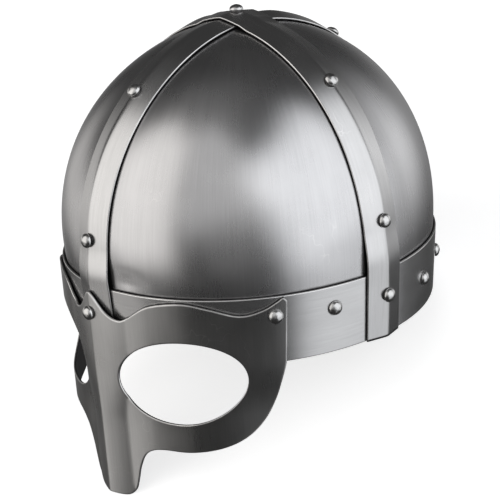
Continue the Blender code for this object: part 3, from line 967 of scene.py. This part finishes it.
@dataclass(frozen=True)
class DomePlates:
    """The four domed quarters of the skull."""

    columns: int = 120
    rows: int = 130
    top_level: float = 1.975
    inner_share: float = 0.4
    skirt: tuple[float, ...] = (0.0, 0.004, 0.014, 0.03, 0.2, 0.4, 0.6, 0.8, 0.95)
    rim_rounding: tuple[float, float] = (0.5, 0.15)
    climb_to_crown: float = 0.155
    wave_seed: int = 11
    wave_cycles: float = 11.0
    wave_middle: float = 0.5
    wave_depth: float = 0.00022
    highest_wave: float = 0.00012
    dents: tuple[Dent, ...] = (
        Dent(math.radians(-77.5), 1.027, 0.0095, 0.0034, 0.00095),
        Dent(math.radians(-14.0), 1.060, 0.0080, 0.0050, 0.00022),
        Dent(math.radians(-47.0), 1.100, 0.0160, 0.0110, 0.00022),
        Dent(math.radians(128.0), 1.300, 0.0140, 0.0110, 0.00035),
    )

    def relief(self, angle: Array, up: Array) -> Array:
        """How far the skin leaves the ideal dome.

        Args:
            angle: Angle round the plan.
            up: Distance up the wall from the rim.

        Returns:
            The offset outward, in metres.
        """
        wave = wander(angle * MEAN_RADIUS, up, self.wave_seed, self.wave_cycles)
        offset = (wave - self.wave_middle) * self.wave_depth
        for dent in self.dents:
            far = ((angle - dent.angle) * MEAN_RADIUS / dent.reach_across) ** 2
            far = far + ((up - self.climb(dent.level)) / dent.reach_up) ** 2
            offset = offset - dent.depth * np.exp(-far)
        return np.minimum(offset, self.highest_wave)

    def climb(self, level: Array) -> Array:
        """Distance up the wall from the rim to a level, near enough."""
        return np.where(np.asarray(level) <= 1, SHELL.brow * level,
                        SHELL.brow + (level - 1.0) * self.climb_to_crown)

    def quarter(self, quarter: Quarter, name: str, guard: "EyeGuard") -> bpy.types.Object:
        """Build one plate.

        Args:
            quarter: Which quarter of the dome.
            name: Name of the piece.
            guard: The guard, behind whose eye holes the wall is arched.

        Returns:
            The piece.
        """
        middle = quarter.value + math.pi / 4
        shift = np.array([math.copysign(STACK.gap / 2, math.cos(middle)),
                          math.copysign(STACK.gap / 2, math.sin(middle)), 0.0])
        thickness = STACK.plate - STACK.gap / 2
        levels = np.concatenate([self.skirt, np.linspace(1, self.top_level, self.rows)])
        rounding = np.zeros(len(levels))
        rounding[:2] = self.rim_rounding
        depth = np.concatenate([rounding, 1 - rounding[::-1][:-1]]) * thickness
        loop = np.concatenate([levels, levels[::-1][:-1]])
        angle = quarter.value + np.linspace(0, math.pi / 2, self.columns + 1)[:, None]
        foot = guard.wall_foot(angle)
        loop = np.where(loop < 1, foot + (1 - foot) * loop, loop)
        up = self.climb(loop)
        lift = -STACK.gap / 2 + self.relief(angle, up) - depth
        points = SHELL.point(angle, loop) + SHELL.normal(angle, loop) * lift[..., None] + shift
        layer = sheet_layer(points, up - foot * SHELL.brow,
                            np.minimum(strap_cover(points), up - SHELL.brow),
                            depth > thickness * self.inner_share)
        return MeshMaker.tube(name, points, layer, flat_of(angle * MEAN_RADIUS, up), closed=False)

    def build(self, guard: "EyeGuard") -> None:
        """Build and dress the four plates.

        Args:
            guard: The guard, behind whose eye holes the wall is arched.
        """
        material = PLATE_STEEL.material()
        for quarter in Quarter:
            side = quarter.name.lower()
            thing = self.quarter(quarter, "skull_" + side, guard)
            finished(thing, material, ("dome_plate_" + side,))


@dataclass(frozen=True)
class BrowBand:
    """The ring round the foot of the plates."""

    columns: int = 420
    points_across: int = 26
    edge_radius: float = 0.00045
    even_edge: float = 0.001
    wave_radius: float = 0.1
    wave_seed: int = 5
    wave_cycles: float = 12.0
    wave_depth: float = 0.00007

    def build(self, guard: "EyeGuard") -> None:
        """Build and dress the band.

        Args:
            guard: The guard, whose edge gets a line of painted shade on the band.
        """
        section = sheet_section(SHELL.brow, STACK.band, self.edge_radius, self.points_across)
        angle = np.linspace(0, 2 * math.pi, self.columns, endpoint=False)[:, None]
        foot = guard.wall_foot(angle) * SHELL.brow
        across = section[:, 0] + SHELL.brow / 2
        share = np.clip((across - self.even_edge) / (SHELL.brow - 2 * self.even_edge), 0, 1)
        height = across + foot * (1 - share)
        level = height / SHELL.brow
        wave = wander(np.cos(angle) * self.wave_radius, np.sin(angle) * self.wave_radius + height,
                      self.wave_seed, self.wave_cycles)
        lift = STACK.band_outside - section[:, 1] - np.abs(wave * self.wave_depth)
        points = (SHELL.point(angle, np.minimum(level, 1.0))
                  + SHELL.normal(angle, 0.0) * lift[..., None])
        layer = sheet_layer(points, np.minimum(height - foot, SHELL.brow - height),
                            np.minimum(strap_cover(points), guard.distance(points)),
                            section[:, 1] > STACK.band * INNER_SHARE)
        flat = flat_of(height, angle * MEAN_RADIUS)
        thing = MeshMaker.tube("brow_ring", points, layer, flat, closed=True)
        finished(thing, BAND_STEEL.material(), ("brow_band",))


@dataclass(frozen=True)
class Straps:
    """The two ridged straps that cross at the crown."""

    rows_on_band: int = 26
    rows_on_step: int = 22
    rows_on_dome: int = 120
    points_across: int = 22
    edge_radius: float = 0.00040
    step_start: float = 1.015
    step_end: float = 1 + 0.0125 / 0.1255
    flat_length: float = 0.030
    ridge_share: float = 0.35
    crossing_length: float = 0.0098
    ridge_softness: float = 0.085
    ridge_sway: float = 0.05
    sway_cycles: float = 16.0
    upper_seed: int = 23
    lower_seed: int = 29
    wave_cycles: float = 18.0
    wave_depth: float = 0.00012

    def ridge(self, distance: Array) -> Array:
        """Height of the ridge, pressed down at the crown."""
        return STACK.strap_ridge * mix(self.ridge_share, 1.0, smooth(distance / self.flat_length))

    def crossing(self, distance: Array) -> Array:
        """How far the upper strap climbs over the lower one.

        Args:
            distance: Distance from the crown's axis.

        Returns:
            The climb.
        """
        half = STRAP_WIDTH / 2
        crest = STACK.strap + self.ridge(np.array(half)) + STACK.gap
        shoulder = STACK.strap + STACK.gap
        near = mix(crest, shoulder, distance / half)
        far = shoulder * (1 - smooth((distance - half) / self.crossing_length))
        return np.where(distance < half, near, far)

    def half_strap(self, angle: float, upper: bool) -> tuple[Array, Array, Array]:
        """Outer face of half a strap, at its left edge, ridge and right edge.

        Args:
            angle: Direction of the half from the crown.
            upper: True for the strap that passes over the other.

        Returns:
            Points and directions at three places across, and the ridge's height.
        """
        levels = np.concatenate([np.linspace(0, 1, self.rows_on_band),
                                 np.linspace(1, self.step_end, self.rows_on_step)[1:],
                                 np.linspace(self.step_end, 2, self.rows_on_dome)[1:]])
        centre = SHELL.point(angle, levels)
        normal = SHELL.normal(angle, levels)
        normal[-1] = (0.0, 0.0, 1.0)
        distance = np.hypot(centre[:, 0], centre[:, 1])
        step = 1 - ease(levels, (self.step_start, self.step_end))
        edge = mix(STACK.strap_edge, STACK.strap_inside, step)
        if upper:
            edge = edge + self.crossing(distance)
        ridge = self.ridge(distance)
        sideways = np.array([-math.sin(angle), math.cos(angle), 0.0])
        points, ways = [], []
        for share in (-1, 0, 1):
            foot = SHELL.drop(centre + sideways * STRAP_WIDTH / 2 * share, normal)
            away = SHELL.direction(foot) if share else normal
            lift = edge + ridge * (1 - abs(share)) + STACK.strap
            points.append(foot + away * lift[:, None])
            ways.append(away)
        return np.stack(points, axis=1), np.stack(ways, axis=1), ridge

    def strap(self, name: str, angle: float, upper: bool, guard: "EyeGuard") -> bpy.types.Object:
        """Build one strap from rim to rim.

        Args:
            name: Name of the piece.
            angle: Direction of its first half.
            upper: True for the strap that passes over the other.
            guard: The guard, whose edge gets a line of painted shade on the front strap.

        Returns:
            The piece.
        """
        first, first_ways, first_ridge = self.half_strap(angle, upper)
        second, second_ways, second_ridge = self.half_strap(angle + math.pi, upper)
        rails = np.concatenate([first, second[-2::-1, ::-1]])
        ways = np.concatenate([first_ways, second_ways[-2::-1, ::-1]])
        ridge = np.concatenate([first_ridge, second_ridge[-2::-1]])[:, None]
        section = sheet_section(STRAP_WIDTH, STACK.strap, self.edge_radius, self.points_across)
        half = STRAP_WIDTH / 2
        share = section[:, 0] / half
        part = np.abs(share)[None, :, None]
        side = np.where(share < 0, 0, 2)
        point = rails[:, 1:2] * (1 - part) + rails[:, side] * part
        away = unit(ways[:, 1:2] * (1 - part) + ways[:, side] * part)
        along = travel(rails[:, 1])[:, None]
        seed = self.upper_seed if upper else self.lower_seed
        sway = wander(along, 0.0, seed + 1, self.sway_cycles) * self.ridge_sway * (1 - share ** 2)
        sharp = np.sqrt((share - sway) ** 2 + self.ridge_softness ** 2) - np.abs(share)
        wave = np.abs(wander(section[:, 0], along, seed, self.wave_cycles)) * self.wave_depth
        drop = section[:, 1] + ridge * sharp + wave
        points = point - away * drop[..., None]
        free = np.minimum(half - np.abs(section[:, 0]), np.minimum(along, along[-1] - along))
        covered = FREE
        if not upper:
            covered = np.minimum(np.abs(points[..., 1]) - half, guard.distance(points))
        layer = sheet_layer(points, free, covered, section[:, 1] > STACK.strap * INNER_SHARE)
        return MeshMaker.tube(name, points, layer, flat_of(section[:, 0], along), closed=False)

    def build(self, guard: "EyeGuard") -> None:
        """Build and dress both straps.

        Args:
            guard: The guard that lies over the front strap's foot.
        """
        material = STRAP_STEEL.material()
        for name, side, upper, node in (
                ("nose_to_nape_strap", Side.FRONT, False, "front_rear_strap"),
                ("ear_to_ear_strap", Side.LEFT, True, "side_strap")):
            thing = self.strap(name, side.value, upper, guard)
            finished(thing, material, (node,))


def travel(points: Array) -> Array:
    """Distance along a line at each of its points."""
    return np.concatenate([[0.0], np.cumsum(np.linalg.norm(np.diff(points, axis=0), axis=1))])


def gap_to(points: Array, line: Array) -> Array:
    """Distance from each point to the nearest point of a line, a part of them at a time.

    Args:
        points: The points, laid flat.
        line: The line's points.

    Returns:
        The distances.
    """
    parts = 20
    return np.concatenate([np.sqrt(((part[:, None] - line) ** 2).sum(-1)).min(axis=1)
                           for part in np.array_split(points, parts)])


def smooth_line(points: list[tuple[float, float]], steps: int) -> Array:
    """A smooth line through points, with its ends kept.

    Args:
        points: The points.
        steps: Points made for each stretch.

    Returns:
        The line's points.
    """
    rows = np.array(points)
    line = []
    for index in range(len(rows) - 1):
        before, start = rows[max(index - 1, 0)], rows[index]
        end, after = rows[index + 1], rows[min(index + 2, len(rows) - 1)]
        for t in np.arange(steps) / steps:
            line.append(0.5 * (2 * start + (end - before) * t
                               + (2 * before - 5 * start + 4 * end - after) * t * t
                               + (3 * start - before - 3 * end + after) * t ** 3))
    line.append(rows[-1])
    return np.array(line)


def even_line(points: Array, spacing: float) -> Array:
    """Set a line's points at an even spacing.

    Args:
        points: The line.
        spacing: Wanted distance between points.

    Returns:
        The even line, with its ends kept.
    """
    along = travel(points)
    wanted = np.linspace(0, along[-1], max(2, round(along[-1] / spacing)) + 1)
    return np.stack([np.interp(wanted, along, points[:, k]) for k in range(2)], axis=1)


@dataclass(frozen=True)
class EyeGuard:
    """The face guard: brow, eye rings and nasal in one creased sheet."""

    sweep: float = math.radians(58.75)
    nose_drop: float = 0.0870
    crease_width_brow: float = 0.022
    crease_width_nose: float = 0.016
    crease_rise_nose: float = 0.0051
    crease_softness: float = 0.0010
    cheek_flattening: float = 0.0018
    flattening_depth: float = 0.040
    cheek: tuple[float, float] = (0.34, 0.68)
    lobe_tuck: float = 0.0025
    lobe_tuck_depth: float = 0.030
    lobe: tuple[float, float] = (0.50, 0.95)
    eye_half_width: float = 0.0383
    eye_half_height: float = 0.0243
    eye_drop: float = 0.0103
    nose_bridge: float = 0.0308
    eye_tilt: float = math.radians(4.2)
    eye_clearance: float = 0.0030
    edge_radius: float = 0.00045
    second_loop: float = 2.2
    spacing: float = 0.0016
    least_cell: float = 0.0006
    edge_spacing: float = 0.0009
    line_steps: int = 12
    eye_points: int = 150
    crease_columns: tuple[float, ...] = (0.0, 0.0005, 0.0010, 0.0016, 0.0024)
    first_column: float = 0.0038
    plan_steps: int = 40
    no_guard_near: float = 0.02
    near_angle: float = 0.1
    near_height: float = 0.01
    same_point: float = 1e-9
    top: tuple[tuple[float, float], ...] = (
        (0.000, 0.945), (0.020, 0.915), (0.092, 0.678), (0.160, 0.586), (0.218, 0.645),
        (0.345, 0.872), (0.511, 0.955), (0.645, 0.887), (0.788, 0.772), (0.894, 0.827),
        (0.965, 0.935), (0.992, 0.985), (1.010, 0.930))
    low: tuple[tuple[float, float], ...] = (
        (0.996, 0.000), (0.973, 0.114), (0.941, 0.247), (0.887, 0.378), (0.799, 0.487),
        (0.681, 0.551), (0.502, 0.588), (0.365, 0.597), (0.292, 0.618), (0.240, 0.668),
        (0.202, 0.765), (0.180, 0.862), (0.155, 0.945), (0.105, 0.995), (0.000, 1.000))

    def point(self, across: Array, height: Array, depth: Array) -> Array:
        """Points of the guard's sheet.

        Args:
            across: Share of the way from the nose line to an end, -1 to 1.
            height: Height over the rim.
            depth: Depth under the outer face.

        Returns:
            The points.
        """
        angle = across * self.sweep
        width = np.abs(SHELL.half_width * np.sin(angle))
        down = smooth(-height / self.flattening_depth)
        crease = mix(STACK.crease_at_brow, self.crease_rise_nose, down)
        reach = mix(self.crease_width_brow, self.crease_width_nose, down)
        cheek = 1 - ease(width / SHELL.half_width, self.cheek)
        lobe = ease(np.abs(across), self.lobe)
        lean = np.maximum(SHELL.rim_tuck * (1 - height / SHELL.brow), 0.0)
        lean = lean + self.lobe_tuck * smooth(-height / self.lobe_tuck_depth)
        lift = STACK.guard_outside - self.cheek_flattening * down * cheek - lean * lobe
        soft = np.sqrt(width ** 2 + self.crease_softness ** 2)
        lift = lift + crease * np.maximum(0.0, 1 - soft / reach) - depth
        return self.plan(angle, lift, height)

    @staticmethod
    def plan(angle: Array, lift: Array, height: Array) -> Array:
        """Points at a distance off the plates' plan, by the angle from the nose line."""
        return points_of((SHELL.half_width + lift) * np.sin(angle),
                         -(SHELL.half_length + lift) * np.cos(angle), height)

    def half_length(self) -> float:
        """Measure the guard's plan from the nose line to one end.

        Returns:
            The length.
        """
        shares = np.arange(self.plan_steps + 1) / self.plan_steps
        angle = shares * self.sweep
        width = np.abs(SHELL.half_width * np.sin(angle))
        crease = STACK.crease_at_brow * np.maximum(0.0, 1 - width / self.crease_width_brow)
        lift = STACK.guard_outside + crease - SHELL.rim_tuck * ease(shares, self.lobe)
        return float(travel(self.plan(angle, lift, 0.0))[-1])

    def outline(self) -> Array:
        """The guard's whole edge laid flat, as a closed loop.

        Returns:
            Rows of distance across from the nose line, and height.
        """
        length = self.half_length()
        parts = [smooth_line([(share * length, far * reach) for share, far in part], self.line_steps)
                 for part, reach in ((self.top, SHELL.brow), (self.low, -self.nose_drop))]
        half = even_line(np.concatenate(parts), self.edge_spacing)
        other = half[-2:0:-1] * np.array([-1.0, 1.0])
        return np.concatenate([half, other])

    def eye(self, side: int, inset: float = 0.0) -> Array:
        """An eye hole's edge laid flat.

        Args:
            side: 1 for the wearer's left, -1 for the right.
            inset: How much larger than the hole the loop is.

        Returns:
            The loop.
        """
        turn = np.linspace(0, 2 * math.pi, self.eye_points, endpoint=False)
        along = (self.eye_half_width + inset) * np.cos(turn)
        height = (self.eye_half_height + inset) * np.sin(turn) + along * math.tan(self.eye_tilt)
        centre = self.eye_half_width + self.nose_bridge / 2
        return np.stack([side * (centre + along), height - self.eye_drop], axis=1)

    def edges(self, inset: float = 0.0) -> list[Array]:
        """The outline and both eye holes, each moved into the sheet."""
        return [inset_loop(self.outline(), inset), self.eye(1, inset), self.eye(-1, inset)]

    def wall_foot(self, angle: Array) -> Array:
        """Level of the wall's lower edge: the rim, or the arch over an eye hole.

        Args:
            angle: Angle round the plan.

        Returns:
            The level, 0 at the rim.
        """
        turn = angle - Side.FRONT.value
        sweep = np.abs((turn + math.pi) % (2 * math.pi) - math.pi)
        along = sweep / self.sweep * self.half_length() - self.eye_half_width - self.nose_bridge / 2
        share = np.clip(along / (self.eye_half_width + self.eye_clearance), -1, 1)
        rise = (self.eye_half_height + self.eye_clearance) * np.sqrt(1 - share ** 2)
        height = rise + along * math.tan(self.eye_tilt) - self.eye_drop
        return np.where(np.abs(share) < 1, np.maximum(height, 0.0), 0.0) / SHELL.brow

    def distance(self, points: Array) -> Array:
        """How far points are outside the guard's edge, over the band.

        Args:
            points: Points in the upright helmet.

        Returns:
            Distances, 0 under the guard.
        """
        angle = np.arctan2(points[..., 0] / SHELL.half_width, -points[..., 1] / SHELL.half_length)
        flat = np.stack([angle / self.sweep * self.half_length(), points[..., 2]], axis=-1)
        near = np.abs(angle) < self.sweep + self.near_angle
        near &= points[..., 2] < SHELL.brow + self.near_height
        found = np.full(points.shape[:-1], self.no_guard_near)
        loop = self.outline()
        spots = flat[near]
        found[near] = np.where(in_loop(spots, loop), 0.0, gap_to(spots, loop))
        return found

    def face_points(self) -> tuple[Array, list]:
        """Lay the guard's face flat and cover it with triangles.

        Returns:
            The flat points, and the triangles.
        """
        rim, *eyes = self.edges(self.edge_radius)
        lines = [rim, *eyes, *self.edges(self.edge_radius * self.second_loop)]
        edge = np.concatenate(lines)
        low, high = rim.min(axis=0), rim.max(axis=0)
        right = np.concatenate([self.crease_columns,
                                np.arange(self.first_column, high[0], self.spacing)])
        columns = np.concatenate([-right[:0:-1], right])
        rows = np.arange(low[1], high[1], self.spacing)
        grid = np.stack(np.meshgrid(columns, rows), axis=-1).reshape(-1, 2)
        grid = grid[in_loop(grid, rim)]
        for eye in eyes:
            grid = grid[~in_loop(grid, eye)]
        grid = grid[gap_to(grid, edge) > self.least_cell]
        points = np.concatenate([edge, grid])
        borders, start = [], 0
        for line in lines:
            count = len(line)
            borders += [(start + k, start + (k + 1) % count) for k in range(count)]
            start += count
        result = delaunay_2d_cdt([Vector(point) for point in points], borders, [], 1,
                                 self.same_point)
        flat = np.array([tuple(point) for point in result[0]])
        triangles = np.array([face for face in result[2] if len(face) == 3])
        middle = flat[triangles].mean(axis=1)
        keep = np.ones(len(triangles), bool)
        for eye in eyes:
            keep &= ~in_loop(middle, eye)
        return flat, triangles[keep].tolist()

    def build(self) -> None:
        """Build and dress the guard."""
        radius, thickness = self.edge_radius, STACK.guard
        flat, triangles = self.face_points()
        count = len(flat)
        turns = np.radians(EDGE_TURNS)
        steps = [(math.sin(turn), radius * (1 - math.cos(turn))) for turn in turns]
        steps += [(share, thickness - down) for share, down in reversed(steps)]
        flats, depths = [flat, flat], [np.zeros(count), np.full(count, thickness)]
        faces = [tuple(face) for face in triangles]
        faces += [tuple(count + index for index in reversed(face)) for face in triangles]
        start = 2 * count
        for inner, outer in zip(self.edges(radius), self.edges()):
            numbers = nearest(flat, inner)
            size = len(inner)
            rings = [numbers]
            for share, down in steps:
                flats.append(inner + (outer - inner) * share)
                depths.append(np.full(size, down))
                rings.append(np.arange(start, start + size))
                start += size
            rings.append(numbers + count)
            for upper, lower in zip(rings, rings[1:]):
                faces += [(int(upper[k]), int(upper[(k + 1) % size]),
                           int(lower[(k + 1) % size]), int(lower[k])) for k in range(size)]
        flat_all = np.concatenate(flats)
        depth = np.concatenate(depths)
        points = self.point(flat_all[:, 0] / self.half_length(), flat_all[:, 1], depth)
        layer = sheet_layer(points, gap_to(flat_all, np.concatenate(self.edges())), FREE,
                            depth > thickness * INNER_SHARE)
        thing = MeshMaker.piece("face_guard", points, faces, layer, flat_all)
        fix_directions(thing)
        finished(thing, GUARD_STEEL.material(), ("eye_guard",))


def fix_directions(thing: bpy.types.Object) -> None:
    """Make all faces of a closed piece look outward."""
    mesh = bmesh.new()
    mesh.from_mesh(thing.data)
    bmesh.ops.recalc_face_normals(mesh, faces=mesh.faces)
    mesh.to_mesh(thing.data)
    mesh.free()


def nearest(points: Array, wanted: Array) -> Array:
    """Number of the nearest point to each wanted one."""
    return np.array([int(((points - spot) ** 2).sum(axis=1).argmin()) for spot in wanted])


def inset_loop(loop: Array, distance: float) -> Array:
    """Move a closed loop inward.

    Args:
        loop: The loop, which runs clockwise.
        distance: How far to move it.

    Returns:
        The moved loop.
    """
    along = np.roll(loop, -1, axis=0) - np.roll(loop, 1, axis=0)
    along /= np.linalg.norm(along, axis=1, keepdims=True)
    inward = np.stack([along[:, 1], -along[:, 0]], axis=1)
    return loop + inward * distance


def in_loop(points: Array, loop: Array) -> Array:
    """Which flat points lie inside a closed loop.

    Args:
        points: The points.
        loop: The loop.

    Returns:
        True for each point inside.
    """
    inside = np.zeros(len(points), bool)
    x, y = points[:, 0], points[:, 1]
    for (x1, y1), (x2, y2) in zip(loop, np.roll(loop, -1, axis=0)):
        if y1 == y2:
            continue
        crosses = (y1 > y) != (y2 > y)
        inside ^= crosses & (x < (x2 - x1) * (y - y1) / (y2 - y1) + x1)
    return inside


@dataclass(frozen=True)
class Rivets:
    """Domed rivets, hammered over inside."""

    head_radius: float = 0.0040
    head_rise: float = 0.0030
    shank_radius: float = 0.0020
    tail_radius: float = 0.0031
    tail_rise: float = 0.0011
    tail_gap: float = 0.0004
    tail: tuple[tuple[float, float], ...] = (
        (0.97, 0.0), (1.0, 0.3), (0.93, 0.72), (0.70, 0.96), (0.25, 1.0))
    sides: int = 36
    head_points: int = 14
    first_turn: float = 0.02
    rim_share: float = 0.985
    dome_power: float = 0.9
    peak_share: float = 0.05
    peak_steepness: float = 5.0
    unevenness: float = 0.012
    uneven_pace: float = 300.0
    uneven_cycles: float = 0.35
    first_seed: int = 40
    far_mm: float = 9.0
    # Rivet distance given to the head's base, where it puts a faint ring of painted shade.
    shaded_base_mm: float = 4.6
    base_height: float = 0.0004

    def section(self, grip: float) -> Array:
        """Half section of a rivet, from the top of its head to its tail.

        Args:
            grip: Length of the shank from head to tail.

        Returns:
            Rows of radius and height.
        """
        turn = np.linspace(self.first_turn, 1, self.head_points)
        radius = self.head_radius * np.sin(turn * math.pi / 2)
        dome = np.cos(turn * math.pi / 2) ** self.dome_power * (1 - self.peak_share)
        peak = self.peak_share * np.maximum(0, 1 - turn * self.peak_steepness)
        head = np.stack([radius, self.head_rise * (dome + peak)], axis=1)
        shank = [(self.head_radius * self.rim_share, 0.0), (self.shank_radius, 0.0),
                 (self.shank_radius, -grip)]
        tail = [(self.tail_radius * out, -grip - self.tail_rise * down)
                for out, down in self.tail]
        return np.concatenate([head, shank, tail])

    def rivet(self, row: RivetPlace, number: int) -> bpy.types.Object:
        """Build one rivet.

        Args:
            row: Where it sits.
            number: Its number, which picks its small unevenness.

        Returns:
            The piece.
        """
        seat = SHELL.point(row.angle, row.level)
        normal = SHELL.normal(np.array(row.angle), np.array(row.level))
        if row.level >= 2:
            normal = np.array([0.0, 0.0, 1.0])
        section = self.section(row.lift + STACK.gap + STACK.plate + self.tail_gap)
        turn = np.linspace(0, 2 * math.pi, self.sides, endpoint=False)[:, None]
        wave = wander(np.cos(turn), np.sin(turn) + section[:, 1] * self.uneven_pace,
                      self.first_seed + number, self.uneven_cycles)
        uneven = 1 - self.unevenness * np.abs(wave)
        radius = section[:, 0] * uneven
        local = np.stack([radius * np.cos(turn), radius * np.sin(turn),
                          np.broadcast_to(section[:, 1], radius.shape) * uneven], axis=-1)
        turned = np.array(Vector(normal).to_track_quat("Z", "Y").to_matrix())
        points = local @ turned.T + seat + normal * (row.lift + STACK.gap)
        shape = radius.shape
        is_head = np.broadcast_to(section[:, 1] >= 0, shape)
        far = np.full(shape, self.far_mm)
        # The head's base carries a rivet distance that puts a faint ring of painted shade on it.
        is_shaded_base = is_head & (section[:, 1] < self.base_height)
        layer = Layer(edge=far, cover=far, rivet=np.where(is_shaded_base, self.shaded_base_mm, far),
                      inside=1.0 - is_head)
        flat = flat_of(turn * self.head_radius, section[:, 1])
        count = len(section)
        faces = MeshMaker.tube_faces(self.sides, count, closed=True)
        faces = [face for face in faces
                 if not {face[0] % count, face[1] % count} == {0, count - 1}]
        faces.append(tuple(k * count for k in range(self.sides)))
        faces.append(tuple(k * count + count - 1 for k in reversed(range(self.sides))))
        thing = MeshMaker.piece(row.node.replace("rivet_", "domed_rivet_"), points, faces,
                                layer, flat)
        fix_directions(thing)
        return thing

    def build(self) -> None:
        """Build and dress all the rivets."""
        material = RIVET_STEEL.material()
        for number, row in enumerate(RIVETS.places()):
            finished(self.rivet(row, number), material, (row.node,))


@dataclass(frozen=True)
class SoftBox:
    """A soft light in the studio, in degrees. Azimuth 0 is the way the face looks."""

    azimuth: float
    elevation: float
    half_width: float
    half_height: float
    blur: float
    strength: float
    warmth: float
    blue_loss: float = 1.3

    def glow(self) -> Colour:
        """Colour and strength in one."""
        return (self.strength * (1 + self.warmth), self.strength,
                self.strength * (1 - self.blue_loss * self.warmth))


@dataclass(frozen=True)
class Studio:
    """Floor, light and camera."""

    boxes: tuple[SoftBox, ...] = (
        SoftBox(109, 13, 35, 35, 22, 1.34, -0.020),
        SoftBox(-27, 40, 36, 36, 18, 1.26, 0.020),
        SoftBox(48, 53, 34, 32, 26, 0.66, 0.000),
        SoftBox(-80, 0, 20, 13, 16, 0.66, 0.020),
        SoftBox(166, -10, 10, 18, 40, 1.30, -0.010),
        SoftBox(104, -36, 34, 10, 14, 0.90, -0.020),
        SoftBox(-30, -12, 16, 7, 12, 0.54, 0.020),
        SoftBox(-150, -22, 55, 12, 20, 0.24, 0.000),
        SoftBox(140, -24, 14, 12, 22, 0.26, -0.010),
        SoftBox(-25, 5, 12, 6, 12, 0.24, 0.020),
        SoftBox(54, 9, 24, 9, 16, 0.15, 0.000),
        SoftBox(0, 90, 200, 24, 18, 0.10, 0.000),
        SoftBox(-160, 30, 100, 60, 40, 0.018, 0.000),
    )
    ambient: float = 0.034
    backdrop: float = 1.0
    floor_radius: float = 3.0
    floor_height: float = -0.0001
    floor_sides: int = 96
    floor_glow: float = 0.72
    floor_grey: float = 0.75
    camera_place: Point = (0.55281261, -0.48479104, 0.29229790)
    camera_right: Point = (0.67331487, 0.73697334, -0.05930761)
    camera_up: Point = (-0.21452635, 0.27149921, 0.93822525)
    lens: float = 94.033

    def build_light(self) -> None:
        """Light the studio with soft boxes round the helmet and a pale backdrop."""
        world = bpy.data.worlds.new("studio")
        bpy.context.scene.world = world
        world.use_nodes = True
        sketch = Sketch(world.node_tree)
        way = sketch.add("ShaderNodeTexCoord").outputs["Generated"]
        total = (self.ambient,) * 3
        for box in self.boxes:
            turned = sketch.add("ShaderNodeVectorRotate")
            turned.rotation_type = "Z_AXIS"
            sketch.link(way, turned.inputs["Vector"])
            turned.inputs["Angle"].default_value = math.radians(-box.azimuth)
            parts = sketch.add("ShaderNodeSeparateXYZ")
            sketch.link(turned.outputs["Vector"], parts.inputs[0])
            forward = sketch.math("MULTIPLY", parts.outputs["Y"], -1.0)
            side = sketch.math("ABSOLUTE", sketch.math("ARCTAN2", parts.outputs["X"], forward))
            rise = sketch.math("ARCSINE", parts.outputs["Z"])
            rise = sketch.math("ABSOLUTE",
                               sketch.math("SUBTRACT", rise, math.radians(box.elevation)))
            half = math.radians(box.blur / 2)
            width, height = math.radians(box.half_width), math.radians(box.half_height)
            mask = sketch.math("MULTIPLY", sketch.ramp(side, width + half, width - half),
                               sketch.ramp(rise, height + half, height - half))
            total = sketch.vector("MULTIPLY_ADD", first=mask, second=box.glow(), third=total)
        seen = sketch.add("ShaderNodeLightPath").outputs["Is Camera Ray"]
        background = world.node_tree.nodes["Background"]
        sketch.link(sketch.blend(seen, total, (self.backdrop,) * 3), background.inputs["Color"])

    def build_floor(self) -> None:
        """Lay a round pale floor under the helmet."""
        sides, radius, height = self.floor_sides, self.floor_radius, self.floor_height
        points = [(0.0, 0.0, height)]
        for turn in (2 * math.pi * k / sides for k in range(sides)):
            points.append((radius * math.cos(turn), radius * math.sin(turn), height))
        faces = [(0, 1 + k, 1 + (k + 1) % sides) for k in range(sides)]
        mesh = bpy.data.meshes.new("floor")
        mesh.from_pydata(points, [], faces)
        floor = bpy.data.objects.new("floor", mesh)
        bpy.context.scene.collection.objects.link(floor)
        material = bpy.data.materials.new("pale_floor")
        material.use_nodes = True
        sketch = Sketch(material.node_tree)
        shader = material.node_tree.nodes["Principled BSDF"]
        shader.inputs["Base Color"].default_value = (*(self.floor_grey,) * 3, 1.0)
        shader.inputs["Roughness"].default_value = 1.0
        shader.inputs["Specular IOR Level"].default_value = 0.0
        shader.inputs["Emission Color"].default_value = (1.0, 1.0, 1.0, 1.0)
        shader.inputs["Emission Strength"].default_value = self.floor_glow
        seen = sketch.add("ShaderNodeLightPath").outputs["Is Camera Ray"]
        sketch.link(seen, shader.inputs["Alpha"])
        mesh.materials.append(material)

    def build_camera(self) -> None:
        """Set the camera at the photograph's angle to the helmet."""
        data = bpy.data.cameras.new("camera")
        data.sensor_width = 36.0
        data.lens = self.lens
        data.clip_start, data.clip_end = 0.01, 20.0
        camera = bpy.data.objects.new("camera", data)
        right, up = Vector(self.camera_right), Vector(self.camera_up)
        place = Matrix((right, up, right.cross(up))).transposed().to_4x4()
        place.translation = Vector(self.camera_place)
        camera.matrix_world = REST.matrix() @ place
        bpy.context.scene.collection.objects.link(camera)
        bpy.context.scene.camera = camera

    def build(self) -> None:
        """Build the studio."""
        self.build_light()
        self.build_floor()
        self.build_camera()
        bpy.context.scene.view_settings.view_transform = "Standard"


def main() -> None:
    """Build the helmet and its studio, in order."""
    logging.basicConfig(level=logging.INFO, format="%(name)s %(message)s")
    Studio().build()
    guard = EyeGuard()
    DomePlates().build(guard)
    BrowBand().build(guard)
    Straps().build(guard)
    guard.build()
    Rivets().build()


if __name__ == "__main__":
    main()
